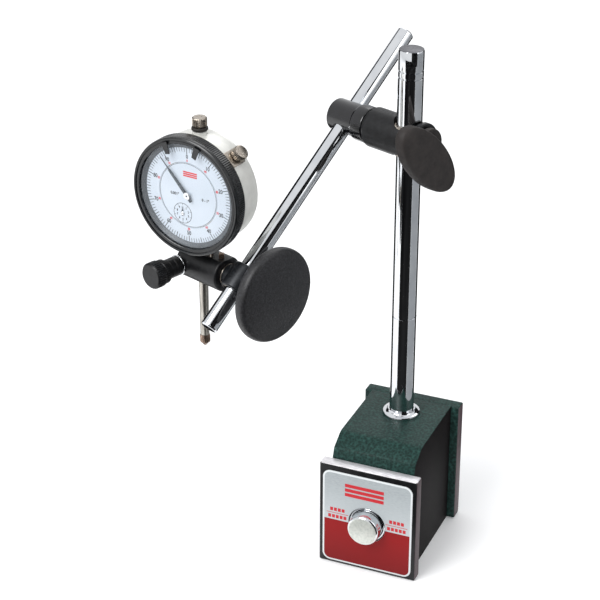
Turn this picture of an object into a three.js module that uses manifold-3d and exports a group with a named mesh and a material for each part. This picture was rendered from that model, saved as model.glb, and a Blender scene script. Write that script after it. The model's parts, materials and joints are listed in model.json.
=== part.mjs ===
// Dial indicator held by a swivel-arm stand on a push-button magnetic base.
// Millimetres, +Z up. The origin is the centre of the base's underside, the push button faces -Y.
import * as THREE from "three";
import { mergeVertices } from "three/addons/utils/BufferGeometryUtils.js";
import Module from "manifold-3d";

const wasm = await Module();
wasm.setup();

// ---- Driving dimensions -------------------------------------------------------------------------

const GAP = 0.3; // between pieces that rest on each other
const RUN = 0.12; // running clearance, on the radius

// Magnetic base
const BASE_WIDTH = 50;
const BASE_DEPTH = 67;
const FRONT_PLATE = { height: 56, thickness: 6.4 };
const REAR_PLATE = { height: 64.8, thickness: 7.1 };
const BODY_WIDTH = 42;
const BODY_TOP = 65.4;
const BUTTON_HEIGHT = 26.5;
const BUTTON_RADIUS = 8;
const BUTTON_PROUD = 7;
const BUSHING_RADIUS = 9.4;
const MAGNET_RADIUS = 12.5;
const MAGNET_LENGTH = 40;
const LABEL = { width: 46, height: 51.4, thickness: 0.5, corner: 4, bottom: 1.6 };

// Post and arm
const POST = { radius: 6, y: 11.6, bottom: 46, top: 254 };
const ARM = { radius: 4.25, above: 51.3, below: 121 };
const CLAMP_HEIGHT = 210.5; // swivel clamp's axis above the table
const CLAMP_TURN = -21; // degrees about the post, from +X
const ARM_OFFSET = 37.5; // arm plane to post axis
const ARM_DIP = 39.3; // degrees below the horizontal

// Swivel clamp
const POST_BARREL = { radius: 9.6, from: -21.6, to: 9.4 };
const ARM_BARREL = { radius: 8, flange: 8.8, end: 8.6 };
const SPIGOT_RADIUS = 6;
const BUSH = { inner: POST.radius + RUN, outer: 7.2, height: 14, slit: 1.6 };
const THRUST_PIN_RADIUS = 3.1;
const WING = { half: 25, halfWidth: 10.5, thickness: 8, tilt: -46, y: -6, z: -4 };

// Stem clamp, at the arm's lower end
const SLEEVE_DISTANCE = 94; // from the arm barrel's centre, along the arm
const SLEEVE = { radius: 6.9, length: 13, boss: 5.5 };
const LINER = { inner: ARM.radius + RUN, outer: 5.2, length: 12 };
const HEAD = { radius: 8.5, flat: 7.5, from: -36, to: -8.4 };
const NECK_RADIUS = 3.6; // the spigot that the head turns on
const HEAD_PIN = { radius: 0.9, bottom: 4, top: 9.8, x: -16.4, y: -2.6 };
const HEAD_SCREW = { radius: 1.8, top: 9.6, x: -12.4 };
const STEM_OFFSET = 25; // indicator's stem to the arm plane
const DISC_KNOB = { radius: 22.5, hub: 6.5, from: 13.5, face: 18, to: 27 };
const STEM_SCREW_X = -32.6;

// Indicator. Depths run back from the stem axis, so the dial's front is negative.
const DIAL_ABOVE_CLAMP = 39; // the bezel clears the head's pin and screw
const INDICATOR_TURN = 12; // degrees, from the clamp's frame
const BEZEL = { radius: 28.8, lip: 24.3, inner: 25.6, front: -13.6, back: -6.3 };
const CASE = { radius: 27, inner: 25, spigot: 26.6, front: -9.4, back: 5.2 };
const STEM = { radius: 4.765, bore: 2.25 + RUN, length: 18.8 };
const SPINDLE = { radius: 2.25, top: 31, bottom: -76 };
const DIAL = { depth: -10.6, split: 16 };
const HAND_LENGTH = 21.5;
const HAND_ANGLE = 41.4; // degrees left of twelve o'clock
const SMALL_DIAL = { x: -3.2, z: -9.6, hand: 3.6 };

// Movement
const RACK_MODULE = 12.7 / (10 * Math.PI); // half an inch of travel a turn, ten teeth
const RACK_TIP = -2.15; // x of the rack's tooth tips
const GEAR_MODULE = 0.184;
const RACK_PINION_TEETH = 10;
const RACK_GEAR_TEETH = 50;
const CENTRE_TEETH = 10;
const COUNTER_TEETH = 100;
const FINE_TEETH = 40; // a gear with more teeth than this has pointed ones

const DIAL_ROUND = 48; // sides of the indicator's case and bezel
const ROUND = 32; // sides of a large round piece
const MID_ROUND = 24;
const SMALL_ROUND = 16;

// ---- Materials ----------------------------------------------------------------------------------

const finish = (color, roughness, metalness) => new THREE.MeshStandardMaterial({ color, roughness, metalness });

const chrome = finish(0xdfe2e4, 0.08, 1);
const steel = finish(0xb9bcc0, 0.35, 1);
const brass = finish(0xb5893c, 0.35, 1);
const hammeredGreen = finish(0x24403c, 0.45, 0.2);
const blackPaint = finish(0x17181a, 0.4, 0.1);
const blackPlastic = finish(0x242426, 0.55, 0);
const brownPlastic = finish(0x3a3532, 0.6, 0);
const blackBezel = finish(0x1d1f20, 0.35, 0.3);
const rubber = finish(0x2a1c18, 0.8, 0);
const labelRed = finish(0x98181c, 0.4, 0);
const dialWhite = finish(0xdbe3ec, 0.5, 0);
const crystalClear = finish(0xeef3f6, 0.05, 0);
const magnetGrey = finish(0x3c3d40, 0.7, 0.4);

// ---- Geometry helpers ---------------------------------------------------------------------------

const degrees = THREE.MathUtils.degToRad;

function toSolid(geometry) {
  const bare = geometry.index ? geometry.toNonIndexed() : geometry.clone();
  bare.deleteAttribute("normal");
  bare.deleteAttribute("uv");
  const merged = mergeVertices(bare, 1e-4);
  return new wasm.Manifold(
    new wasm.Mesh({
      numProp: 3,
      vertProperties: merged.attributes.position.array,
      triVerts: new Uint32Array(merged.index.array),
    }),
  );
}

function toGeometry(solid) {
  const mesh = solid.getMesh();
  const geometry = new THREE.BufferGeometry();
  geometry.setAttribute("position", new THREE.BufferAttribute(new Float32Array(mesh.vertProperties), 3));
  geometry.setIndex(new THREE.BufferAttribute(new Uint32Array(mesh.triVerts), 1));
  return geometry;
}

function cut(geometry, ...tools) {
  return toGeometry(tools.reduce((solid, tool) => solid.subtract(toSolid(tool)), toSolid(geometry)));
}

function join(geometry, ...others) {
  return toGeometry(others.reduce((solid, other) => solid.add(toSolid(other)), toSolid(geometry)));
}

function meet(geometry, other) {
  return toGeometry(toSolid(geometry).intersect(toSolid(other)));
}

// A profile of [radius, height] points turned about the Y axis, its outer side running upwards.
function turnedY(profile, sides = ROUND) {
  return new THREE.LatheGeometry(profile.map(([r, h]) => new THREE.Vector2(r, h)), sides);
}

const turnedZ = (profile, sides) => turnedY(profile, sides).rotateX(Math.PI / 2);

const rodProfile = (radius, from, to) => [[0, from], [radius, from], [radius, to], [0, to]];
const ringProfile = (inner, outer, from, to) =>
  [[inner, from], [outer, from], [outer, to], [inner, to], [inner, from]];

const rodX = (radius, from, to, sides = SMALL_ROUND) =>
  turnedY(rodProfile(radius, -to, -from), sides).rotateZ(Math.PI / 2);
const rodY = (radius, from, to, sides = SMALL_ROUND) => turnedY(rodProfile(radius, from, to), sides);
const rodZ = (radius, from, to, sides = SMALL_ROUND) => turnedZ(rodProfile(radius, from, to), sides);
const ringX = (inner, outer, from, to, sides = SMALL_ROUND) =>
  turnedY(ringProfile(inner, outer, -to, -from), sides).rotateZ(Math.PI / 2);
const ringY = (inner, outer, from, to, sides = SMALL_ROUND) => turnedY(ringProfile(inner, outer, from, to), sides);
const ringZ = (inner, outer, from, to, sides = SMALL_ROUND) => turnedZ(ringProfile(inner, outer, from, to), sides);

function block(x0, x1, y0, y1, z0, z1) {
  return new THREE.BoxGeometry(x1 - x0, y1 - y0, z1 - z0)
    .translate((x0 + x1) / 2, (y0 + y1) / 2, (z0 + z1) / 2);
}

// A flat outline drawn in X and Z, as thick as from y0 to y1.
function plateY(shape, y0, y1, curveSegments = 8) {
  return new THREE.ExtrudeGeometry(shape, { depth: y1 - y0, bevelEnabled: false, curveSegments })
    .rotateX(Math.PI / 2)
    .translate(0, y1, 0);
}

// A flat outline drawn in Y and Z, as thick as from x0 to x1.
function plateX(shape, x0, x1, curveSegments = 8) {
  return new THREE.ExtrudeGeometry(shape, { depth: x1 - x0, bevelEnabled: false, curveSegments })
    .rotateX(Math.PI / 2)
    .rotateZ(Math.PI / 2)
    .translate(x0, 0, 0);
}

function roundedRectangle(width, height, corner, bottom) {
  const [x, top] = [width / 2, bottom + height];
  const shape = new THREE.Shape();
  shape.moveTo(-x + corner, bottom);
  shape.lineTo(x - corner, bottom);
  shape.absarc(x - corner, bottom + corner, corner, -Math.PI / 2, 0);
  shape.absarc(x - corner, top - corner, corner, 0, Math.PI / 2);
  shape.absarc(-x + corner, top - corner, corner, Math.PI / 2, Math.PI);
  shape.absarc(-x + corner, bottom + corner, corner, Math.PI, Math.PI * 1.5);
  return shape;
}

// A gear's outline: straight-sided teeth, pointed on a fine gear, the first one centred on the angle phase.
function gearShape(teeth, module, phase) {
  const pitch = (2 * Math.PI) / teeth;
  const tip = (teeth * module) / 2 + 0.75 * module;
  const root = (teeth * module) / 2 - 1.15 * module;
  const pointed = [[root, -0.28], [tip, 0], [root, 0.28]];
  const flat = [[root, -0.28], [tip, -0.1], [tip, 0.1], [root, 0.28]];
  const corners = teeth < FINE_TEETH ? flat : pointed;
  const points = [];
  for (let tooth = 0; tooth < teeth; tooth++)
    for (const [radius, part] of corners) {
      const angle = phase + (tooth + part) * pitch;
      points.push(new THREE.Vector2(radius * Math.cos(angle), radius * Math.sin(angle)));
    }
  return new THREE.Shape(points);
}

function mesh(name, geometry, material) {
  const made = new THREE.Mesh(geometry, material);
  made.name = name;
  return made;
}

// ---- Magnetic base ------------------------------------------------------------------------------

const baseFront = -BASE_DEPTH / 2;
const baseRear = BASE_DEPTH / 2;
const bodyFront = baseFront + FRONT_PLATE.thickness + GAP / 3;
const bodyRear = baseRear - REAR_PLATE.thickness - GAP / 3;

function frontPolePlate() {
  const half = BASE_WIDTH / 2;
  const plate = block(-half, half, baseFront, baseFront + FRONT_PLATE.thickness, 0, FRONT_PLATE.height);
  return cut(plate, rodY(BUSHING_RADIUS + RUN, baseFront - 1, bodyFront, ROUND).translate(0, 0, BUTTON_HEIGHT));
}

function rearPolePlate() {
  const half = BASE_WIDTH / 2;
  const plate = block(-half, half, baseRear - REAR_PLATE.thickness, baseRear, 0, REAR_PLATE.height);
  return cut(plate, rodY(6.6, bodyRear, baseRear + 1, ROUND).translate(0, 0, BUTTON_HEIGHT));
}

// The body's side outline: a steep step behind the front plate, a sloping band, then a level top.
function bodyShape() {
  const shape = new THREE.Shape();
  shape.moveTo(bodyFront, 0);
  shape.lineTo(bodyRear, 0);
  shape.lineTo(bodyRear, BODY_TOP);
  shape.lineTo(-14, BODY_TOP);
  shape.quadraticCurveTo(-16.6, BODY_TOP, -18.2, BODY_TOP - 0.9);
  shape.lineTo(bodyFront + 1.9, FRONT_PLATE.height + 4.6);
  shape.lineTo(bodyFront, FRONT_PLATE.height - 0.4);
  return shape;
}

function baseBody() {
  const body = plateX(bodyShape(), -BODY_WIDTH / 2, BODY_WIDTH / 2, 5);
  const tunnel = rodY(MAGNET_RADIUS + 0.5, bodyFront - 1, bodyRear + 1, ROUND).translate(0, 0, BUTTON_HEIGHT);
  const postHole = rodZ(POST.radius + RUN, POST.bottom - GAP, BODY_TOP + 1, ROUND).translate(0, POST.y, 0);
  return cut(body, tunnel, postHole);
}

function labelPlate() {
  const front = baseFront - GAP / 3 - LABEL.thickness;
  const outline = roundedRectangle(LABEL.width, LABEL.height, LABEL.corner, LABEL.bottom);
  const plate = plateY(outline, front, front + LABEL.thickness, 6);
  return cut(plate, rodY(BUSHING_RADIUS + RUN, front - 1, baseFront, ROUND).translate(0, 0, BUTTON_HEIGHT));
}

const buttonBushing = () =>
  ringY(BUTTON_RADIUS + GAP, BUSHING_RADIUS, baseFront - 0.9, bodyFront - GAP, ROUND).translate(0, 0, BUTTON_HEIGHT);

function pushButton() {
  const face = baseFront - BUTTON_PROUD;
  const profile = [
    [0, face], [BUTTON_RADIUS - 0.8, face], [BUTTON_RADIUS, face + 0.8],
    [BUTTON_RADIUS, baseFront + 5.4], [0, baseFront + 5.4],
  ];
  return turnedY(profile, ROUND).translate(0, 0, BUTTON_HEIGHT);
}

const magnetFront = -20.5;

const buttonRod = () => rodY(3.5, baseFront + 5.4 + GAP, 19.2 + 6.4).translate(0, 0, BUTTON_HEIGHT);

const magnetBlock = () =>
  ringY(3.5 + RUN, MAGNET_RADIUS, magnetFront, magnetFront + MAGNET_LENGTH, ROUND).translate(0, 0, BUTTON_HEIGHT);

const rearButton = () => rodY(6.2, 25.9, baseRear - 0.2, ROUND).translate(0, 0, BUTTON_HEIGHT);

function postCollar() {
  const [inner, low] = [POST.radius + RUN, BODY_TOP + GAP / 3];
  const profile = [
    [inner, low], [9.2, low], [9.2, low + 1], [8.6, low + 1.6],
    [7.4, low + 1.9], [6.8, low + 2.8], [inner, low + 2.8], [inner, low],
  ];
  return turnedZ(profile, ROUND).translate(0, POST.y, 0);
}

function post() {
  const profile = [
    [0, POST.bottom], [POST.radius, POST.bottom],
    [POST.radius, POST.top - 0.8], [POST.radius - 0.8, POST.top], [0, POST.top],
  ];
  return turnedZ(profile, ROUND).translate(0, POST.y, 0);
}

function magneticBase() {
  const group = new THREE.Group();
  group.add(
    mesh("front_pole_plate", frontPolePlate(), blackPaint),
    mesh("rear_pole_plate", rearPolePlate(), hammeredGreen),
    mesh("base_body", baseBody(), hammeredGreen),
    mesh("label_plate", labelPlate(), labelRed),
    mesh("button_bushing", buttonBushing(), chrome),
    mesh("push_button", pushButton(), chrome),
    mesh("button_rod", buttonRod(), steel),
    mesh("magnet_block", magnetBlock(), magnetGrey),
    mesh("rear_button", rearButton(), steel),
    mesh("post_collar", postCollar(), chrome),
    mesh("post", post(), chrome),
  );
  return group;
}

// ---- Swivel clamp: X runs along its axis, away from the arm; Z is up ----------------------------

const washerX = POST_BARREL.from - GAP / 2; // the friction washer's right face
const armBarrelRight = washerX - 0.8 - GAP / 2;

function postBush() {
  const half = BUSH.height / 2;
  const tube = ringZ(BUSH.inner, BUSH.outer, -half, half, MID_ROUND);
  return cut(tube, block(-BUSH.slit / 2, BUSH.slit / 2, 0, BUSH.outer + 1, -half - 1, half + 1));
}

// The barrel round the post, with the spigot that the arm barrel turns on.
function postBarrel() {
  const { radius, from, to } = POST_BARREL;
  const spigotEnd = -ARM_OFFSET + ARM.radius + 2.4;
  const barrel = join(
    rodX(radius, from, to, MID_ROUND),
    rodX(SPIGOT_RADIUS, spigotEnd, from + 1, MID_ROUND),
  );
  return cut(
    barrel,
    rodZ(BUSH.outer + RUN, -radius - 1, radius + 1, ROUND),
    rodX(THRUST_PIN_RADIUS + RUN, spigotEnd - 1, 0),
    rodX(3.1, 0, to + 1),
  );
}

const thrustPin = () =>
  rodX(THRUST_PIN_RADIUS, -ARM_OFFSET + ARM.radius + GAP, -BUSH.outer - GAP);

const frictionWasher = () => ringX(SPIGOT_RADIUS + RUN, 8.4, washerX - 0.8, washerX, MID_ROUND);

function armBarrel() {
  const left = -ARM_OFFSET - ARM_BARREL.end;
  const barrel = join(
    rodX(ARM_BARREL.radius, left + 1, armBarrelRight - 1, MID_ROUND),
    rodX(ARM_BARREL.radius - 1, left, left + 2, MID_ROUND),
    rodX(ARM_BARREL.flange, armBarrelRight - 6.8, armBarrelRight, MID_ROUND),
  );
  const socketEnd = -ARM_OFFSET + ARM.radius + 1.8;
  return cut(
    barrel,
    rodX(SPIGOT_RADIUS + RUN, socketEnd, armBarrelRight + 1, MID_ROUND),
    rodX(THRUST_PIN_RADIUS + RUN, -ARM_OFFSET, socketEnd + 1),
    armBore(ARM_BARREL.radius + 2),
  );
}

// The hole that the arm runs in, square to the clamp's axis and dipping to the front.
const armBore = (reach) =>
  rodZ(ARM.radius + RUN, -reach, reach, MID_ROUND).rotateX(armTilt).translate(-ARM_OFFSET, 0, 0);

// A leaf-shaped wing on a round hub, with the stud that presses on the post.
function wingKnob() {
  const hubFace = POST_BARREL.to + GAP;
  const wingFace = hubFace + 1.6;
  const leaf = new THREE.Shape();
  leaf.absellipse(0, 0, WING.half, WING.halfWidth, 0, 2 * Math.PI);
  const wing = plateX(leaf, wingFace, wingFace + WING.thickness, 16)
    .rotateX(degrees(WING.tilt))
    .translate(0, WING.y, WING.z);
  return join(
    wing,
    rodX(8, hubFace, wingFace + 1, MID_ROUND),
    rodX(2.9, BUSH.outer + GAP, hubFace + 1),
  );
}

// ---- Arm: in its own frame Z runs up along it ---------------------------------------------------

const armTilt = -degrees(90 - ARM_DIP);

function armRod() {
  const profile = [
    [0, -ARM.below], [ARM.radius - 0.8, -ARM.below], [ARM.radius, -ARM.below + 0.8],
    [ARM.radius, ARM.above - 0.8], [ARM.radius - 0.8, ARM.above], [0, ARM.above],
  ];
  return turnedZ(profile, MID_ROUND);
}

function sleeveLiner() {
  const half = LINER.length / 2;
  const tube = ringZ(LINER.inner, LINER.outer, -half, half, MID_ROUND);
  return cut(tube, block(-0.7, 0.7, 0, LINER.outer + 1, -half - 1, half + 1));
}

// The sleeve round the arm, its threaded neck for the knob and its spigot for the head.
function armSleeve() {
  const half = SLEEVE.length / 2;
  const boss = SLEEVE.radius + 0.4;
  const body = join(
    rodZ(SLEEVE.radius, -half, half, MID_ROUND),
    rodX(SLEEVE.boss, -boss, boss),
    rodX(4.6, 0, DISC_KNOB.from - GAP),
    rodX(NECK_RADIUS, HEAD.to - 9.4, 0),
  );
  return cut(
    body,
    rodZ(LINER.outer + RUN, -half - 1, half + 1, MID_ROUND),
    rodX(2.2, 0, DISC_KNOB.from),
  );
}

const sleeveWasher = () => ringX(NECK_RADIUS + RUN, 5.6, HEAD.to + GAP, HEAD.to + GAP + 0.6);

function discKnob() {
  const { radius, hub, from, face, to } = DISC_KNOB;
  const profile = [
    [2.2, from], [hub, from], [hub, face + 0.4], [radius - 1.4, face], [radius, face + 1.4],
    [radius, to - 4.2], [radius - 1.6, to - 2.4], [radius - 6, to - 1], [radius - 13, to - 0.2], [0, to],
    [0, face + 3], [2.2, face + 3], [2.2, from],
  ];
  return turnedY(profile, ROUND).rotateZ(-Math.PI / 2);
}

const discKnobStud = () => rodX(2, LINER.outer + GAP, DISC_KNOB.face + 3 - GAP);

// The split head that grips the indicator's stem.
function stemHead() {
  const { radius, flat, from, to } = HEAD;
  const round = rodX(radius, from, to, MID_ROUND);
  const body = meet(round, block(from - 1, to + 1, -radius - 1, radius + 1, -flat, flat));
  return cut(
    body,
    rodZ(STEM.radius + RUN, -flat - 1, flat + 1, MID_ROUND).translate(-STEM_OFFSET, 0, 0),
    rodX(NECK_RADIUS + RUN, to - 9.4 - GAP, to + 1),
    block(from - 1, -STEM_OFFSET, -0.8, 0.8, -flat - 1, flat + 1),
    rodY(1.5 + RUN, -radius - 1, radius + 1, 12).translate(STEM_SCREW_X, 0, 0),
    rodZ(HEAD_PIN.radius + RUN, HEAD_PIN.bottom - GAP, flat + 1, 10).translate(HEAD_PIN.x, HEAD_PIN.y, 0),
    rodZ(HEAD_SCREW.radius + RUN, 0, flat + 1, 12).translate(HEAD_SCREW.x, 0, 0),
  );
}

const headPin = () =>
  rodZ(HEAD_PIN.radius, HEAD_PIN.bottom, HEAD_PIN.top, 10).translate(HEAD_PIN.x, HEAD_PIN.y, 0);
const headScrew = () =>
  rodZ(HEAD_SCREW.radius, NECK_RADIUS + GAP, HEAD_SCREW.top, 12).translate(HEAD_SCREW.x, 0, 0);

function stemScrew() {
  const face = -HEAD.radius - 1.5;
  const profile = [
    [0, face - 16.5], [5.8, face - 16.5], [6.4, face - 15.9], [6.4, face - 8.6], [5.8, face - 8],
    [4.7, face - 8], [4.7, face], [1.5, face], [1.5, HEAD.radius - 1.5], [0, HEAD.radius - 1.5],
  ];
  return turnedY(profile, MID_ROUND).translate(STEM_SCREW_X, 0, 0);
}

const stemScrewWasher = () =>
  ringY(1.5 + RUN, 5, -HEAD.radius - 1.2, -HEAD.radius - GAP, MID_ROUND).translate(STEM_SCREW_X, 0, 0);

// ---- Indicator: X to the right of the dial, Y to its back, Z up, origin at the dial's centre -----

function indicatorCase() {
  const { radius, inner, spigot, front, back } = CASE;
  const profile = [
    [inner, front], [spigot, front], [spigot, BEZEL.back + GAP], [radius, BEZEL.back + GAP],
    [radius, back], [inner, back], [inner, front],
  ];
  return cut(
    turnedY(profile, DIAL_ROUND),
    rodZ(STEM.radius + RUN, -radius - 1, -inner + 2, MID_ROUND),
    rodZ(3.4 + RUN, inner - 2, radius + 1),
    bezelScrewHole(),
  );
}

const SCREW_ANGLE = degrees(45);
const radial = (geometry) => geometry.rotateY(Math.PI / 2 - SCREW_ANGLE);
const bezelScrewHole = () => radial(rodZ(1.2 + RUN, CASE.inner - 1, CASE.radius + 1, 12));

const backCover = () =>
  [45, 135, 225, 315].reduce(
    (cover, angle) => cut(cover, rodY(1.2, 0, 10, 10).translate(...around(22.6, angle))),
    turnedY([[0, CASE.back + 0.1], [26.6, CASE.back + 0.1], [26.6, CASE.back + 1.7],
      [25.8, CASE.back + 2.3], [0, CASE.back + 2.3]], DIAL_ROUND),
  );

const around = (radius, angle) => [radius * Math.cos(degrees(angle)), 0, radius * Math.sin(degrees(angle))];

const coverScrew = (angle) =>
  turnedY([[0, 3.6], [0.95, 3.6], [0.95, CASE.back + 2.5], [1.9, CASE.back + 2.5],
    [1.9, CASE.back + 3.1], [0, CASE.back + 3.1]], 12).translate(...around(22.6, angle));

function bezel() {
  const { radius, lip, inner, front, back } = BEZEL;
  const profile = [
    [lip, front], [radius - 1.4, front], [radius - 1.2, front + 1], [radius, front + 1.3],
    [radius, back - 0.4], [radius - 0.4, back], [CASE.spigot + RUN, back],
    [CASE.spigot + RUN, CASE.front - GAP], [inner, CASE.front - GAP], [inner, front + 0.8],
    [lip, front + 0.8], [lip, front],
  ];
  return turnedY(profile, DIAL_ROUND);
}

const crystal = () => rodY(BEZEL.inner - 0.2, BEZEL.front + 0.9, BEZEL.front + 1.6, DIAL_ROUND);

// The outer ring of the dial turns with the bezel, the centre disc stays with the case.
const dialRing = () => ringY(DIAL.split + 0.1, BEZEL.inner - 0.2, DIAL.depth, DIAL.depth + 0.5, DIAL_ROUND);

const dialCentre = () =>
  cut(
    rodY(DIAL.split - 0.1, DIAL.depth, DIAL.depth + 0.5, DIAL_ROUND),
    rodY(1.2, -12, -9, 12),
    rodY(0.8, -12, -9, 10).translate(SMALL_DIAL.x, 0, SMALL_DIAL.z),
  );

// A tapered pointer with a counterweight tail and a round hub, pointing up the Z axis.
function pointer(length, tail, hub, width, y0, y1) {
  const shape = new THREE.Shape();
  shape.moveTo(-width * 0.8, -tail);
  shape.lineTo(width * 0.8, -tail);
  shape.lineTo(width, length * 0.45);
  shape.lineTo(width * 0.25, length * 0.52);
  shape.lineTo(width * 0.12, length);
  shape.lineTo(-width * 0.12, length);
  shape.lineTo(-width * 0.25, length * 0.52);
  shape.lineTo(-width, length * 0.45);
  return join(plateY(shape, y0, y1), rodY(hub, y0, y1));
}

const mainHand = () =>
  join(pointer(HAND_LENGTH, 3.4, 2, 0.85, -11.7, -11.4), rodY(1, -11.9, -11))
    .rotateY(-degrees(HAND_ANGLE));

const smallHand = () => pointer(SMALL_DIAL.hand, 1.2, 0.7, 0.35, -11.1, -10.85)
  .translate(SMALL_DIAL.x, 0, SMALL_DIAL.z);

// A bent clip that slides round the bezel's lip and points in over the dial.
function toleranceHand(angle) {
  const shape = new THREE.Shape();
  shape.moveTo(-1.6, 27);
  shape.lineTo(-1.3, 21.6);
  shape.lineTo(0.9, 21.2);
  shape.lineTo(1.6, 27);
  return plateY(shape, BEZEL.front - 0.7, BEZEL.front - 0.1).rotateY(degrees(angle));
}

const stem = () =>
  turnedZ([
    [STEM.bore, -CASE.radius - STEM.length], [STEM.radius - 0.5, -CASE.radius - STEM.length],
    [STEM.radius - 0.5, -CASE.radius - STEM.length + 2.2], [STEM.radius, -CASE.radius - STEM.length + 2.6],
    [STEM.radius, -CASE.inner + 0.8], [STEM.bore, -CASE.inner + 0.8], [STEM.bore, -CASE.radius - STEM.length],
  ], MID_ROUND);

const topBush = () =>
  turnedZ([
    [STEM.bore, CASE.inner - 0.8], [3.4, CASE.inner - 0.8], [3.4, CASE.radius + 1.2],
    [STEM.bore, CASE.radius + 1.2], [STEM.bore, CASE.inner - 0.8],
  ], MID_ROUND);

// ---- Spindle and its rack -----------------------------------------------------------------------

const rackPitch = RACK_MODULE * Math.PI;
const rackPitchLine = RACK_TIP + 0.75 * RACK_MODULE;
const rackPinionX = rackPitchLine - (RACK_PINION_TEETH * RACK_MODULE) / 2;
const trainDistance = ((RACK_GEAR_TEETH + CENTRE_TEETH) * GEAR_MODULE) / 2;
const rackPinionZ = Math.sqrt(trainDistance ** 2 - rackPinionX ** 2);

// What is cut away beside the rack: a strip left of the tooth line, with one gap facing the pinion.
function rackCutter() {
  const root = rackPitchLine + 1.15 * RACK_MODULE;
  const [below, above] = [22, 2]; // tooth gaps each side of the pinion's height
  const shape = new THREE.Shape();
  const bottom = rackPinionZ - (below + 0.5) * rackPitch;
  const top = rackPinionZ + (above + 0.5) * rackPitch;
  shape.moveTo(-4, bottom);
  shape.lineTo(RACK_TIP, bottom);
  for (let gap = -below; gap <= above; gap++) {
    const middle = rackPinionZ + gap * rackPitch;
    shape.lineTo(RACK_TIP, middle - 0.36 * rackPitch);
    shape.lineTo(root, middle - 0.2 * rackPitch);
    shape.lineTo(root, middle + 0.2 * rackPitch);
    shape.lineTo(RACK_TIP, middle + 0.36 * rackPitch);
  }
  shape.lineTo(RACK_TIP, top);
  shape.lineTo(-4, top);
  return plateY(shape, -3, 3);
}

const GUIDE_PIN_Z = -16;

const spindle = () =>
  cut(
    rodZ(SPINDLE.radius, SPINDLE.bottom, SPINDLE.top, SMALL_ROUND),
    rackCutter(),
    rodX(0.8 + RUN, 0.6, 4, 10).translate(0, 0, GUIDE_PIN_Z),
  );

const guidePin = () => rodX(0.8, 0.8, 6.4, 10).translate(0, 0, GUIDE_PIN_Z);

function contactPoint() {
  const top = SPINDLE.bottom - 0.1;
  return turnedZ([
    [0, top - 6.1], [0.7, top - 5.9], [1.1, top - 5.4], [1.9, top - 4.2], [2.5, top - 4],
    [2.5, top - 0.4], [2.2, top], [0, top],
  ], SMALL_ROUND);
}

function spindleCap() {
  const low = SPINDLE.top - 0.6;
  return cut(
    turnedZ([[0, low], [3.1, low], [3.45, low + 0.4], [3.45, low + 4], [3.1, low + 4.4], [0, low + 4.4]], MID_ROUND),
    rodZ(SPINDLE.radius + RUN, low - 1, SPINDLE.top + GAP),
  );
}

const capRing = () => ringZ(SPINDLE.radius + RUN, 3.9, CASE.radius + 1.35, SPINDLE.top - 0.75, MID_ROUND);

// A round wire wound into an open coil with its axis along Z.
function coil(radius, wire, from, to, turns) {
  class Helix extends THREE.Curve {
    getPoint(t) {
      const angle = 2 * Math.PI * turns * t;
      return new THREE.Vector3(radius * Math.cos(angle), radius * Math.sin(angle), from + (to - from) * t);
    }
  }
  const section = new THREE.Shape();
  section.absarc(0, 0, wire, 0, 2 * Math.PI);
  return new THREE.ExtrudeGeometry(section, {
    steps: 9 * turns,
    extrudePath: new Helix(),
    curveSegments: 3,
  });
}

const returnSpring = () => coil(1.3, 0.22, -24, GUIDE_PIN_Z - 1.2, 4).translate(4.9, 0, 0);

// ---- Movement ------------------------------------------------------------------------------------

const angleTo = (x, z) => Math.atan2(z, x);
const towardsCentre = angleTo(-rackPinionX, -rackPinionZ);
const centrePhase = towardsCentre + Math.PI + Math.PI / CENTRE_TEETH;
const towardsCounter = angleTo(SMALL_DIAL.x, SMALL_DIAL.z);
const counterPhase =
  towardsCounter + Math.PI - ((centrePhase - towardsCounter) * CENTRE_TEETH) / COUNTER_TEETH
  + Math.PI / COUNTER_TEETH;

const atRackPinion = (geometry) => geometry.translate(rackPinionX, 0, rackPinionZ);
const atCounter = (geometry) => geometry.translate(SMALL_DIAL.x, 0, SMALL_DIAL.z);

const rackPinion = () =>
  atRackPinion(
    join(
      plateY(gearShape(RACK_PINION_TEETH, RACK_MODULE, 0), -2, 2),
      rodY(0.5, -5.6, 4.1, 10),
    ),
  );

const rackGear = () =>
  atRackPinion(
    cut(
      plateY(gearShape(RACK_GEAR_TEETH, GEAR_MODULE, towardsCentre), -4.1, -3.5),
      rodY(0.5 + RUN, -5, -3, 12),
    ),
  );

const centrePinion = () =>
  join(
    plateY(gearShape(CENTRE_TEETH, GEAR_MODULE, centrePhase), -7, -3.2),
    rodY(0.4, -10.9, -2.7, 12),
  );

const counterGear = () =>
  atCounter(
    join(
      plateY(gearShape(COUNTER_TEETH, GEAR_MODULE, counterPhase), -6.7, -6.1),
      rodY(0.45, -10.7, -5.7, 10),
    ),
  );

function hairspring() {
  const [turns, steps] = [3, 60];
  const inner = [];
  const outer = [];
  for (let step = 0; step <= steps; step++) {
    const angle = (2 * Math.PI * turns * step) / steps;
    const radius = 0.75 + (2.6 * step) / steps;
    const direction = new THREE.Vector2(Math.cos(angle), Math.sin(angle));
    inner.push(direction.clone().multiplyScalar(radius));
    outer.push(direction.clone().multiplyScalar(radius + 0.15));
  }
  return atCounter(plateY(new THREE.Shape([...inner.reverse(), ...outer].reverse()), -7.9, -7.4));
}

const PILLAR_RADIUS = 1.6;
const BRIDGE_REACH = 24;
const pillarPlaces = [75, 200, 330].map((angle) => around(21.5, angle));
const pivotHoles = (y0, y1) => [
  rodY(0.7, y0, y1, 12),
  atRackPinion(rodY(0.7, y0, y1, 12)),
  atCounter(rodY(0.7, y0, y1, 12)),
];

const mainPlate = () =>
  pillarPlaces.reduce(
    (plate, place) => join(plate, rodY(PILLAR_RADIUS, -9, 2.6, 12).translate(...place)),
    cut(rodY(24.6, -9.3, -8.5, DIAL_ROUND), ...pivotHoles(-10, -8)),
  );

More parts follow.
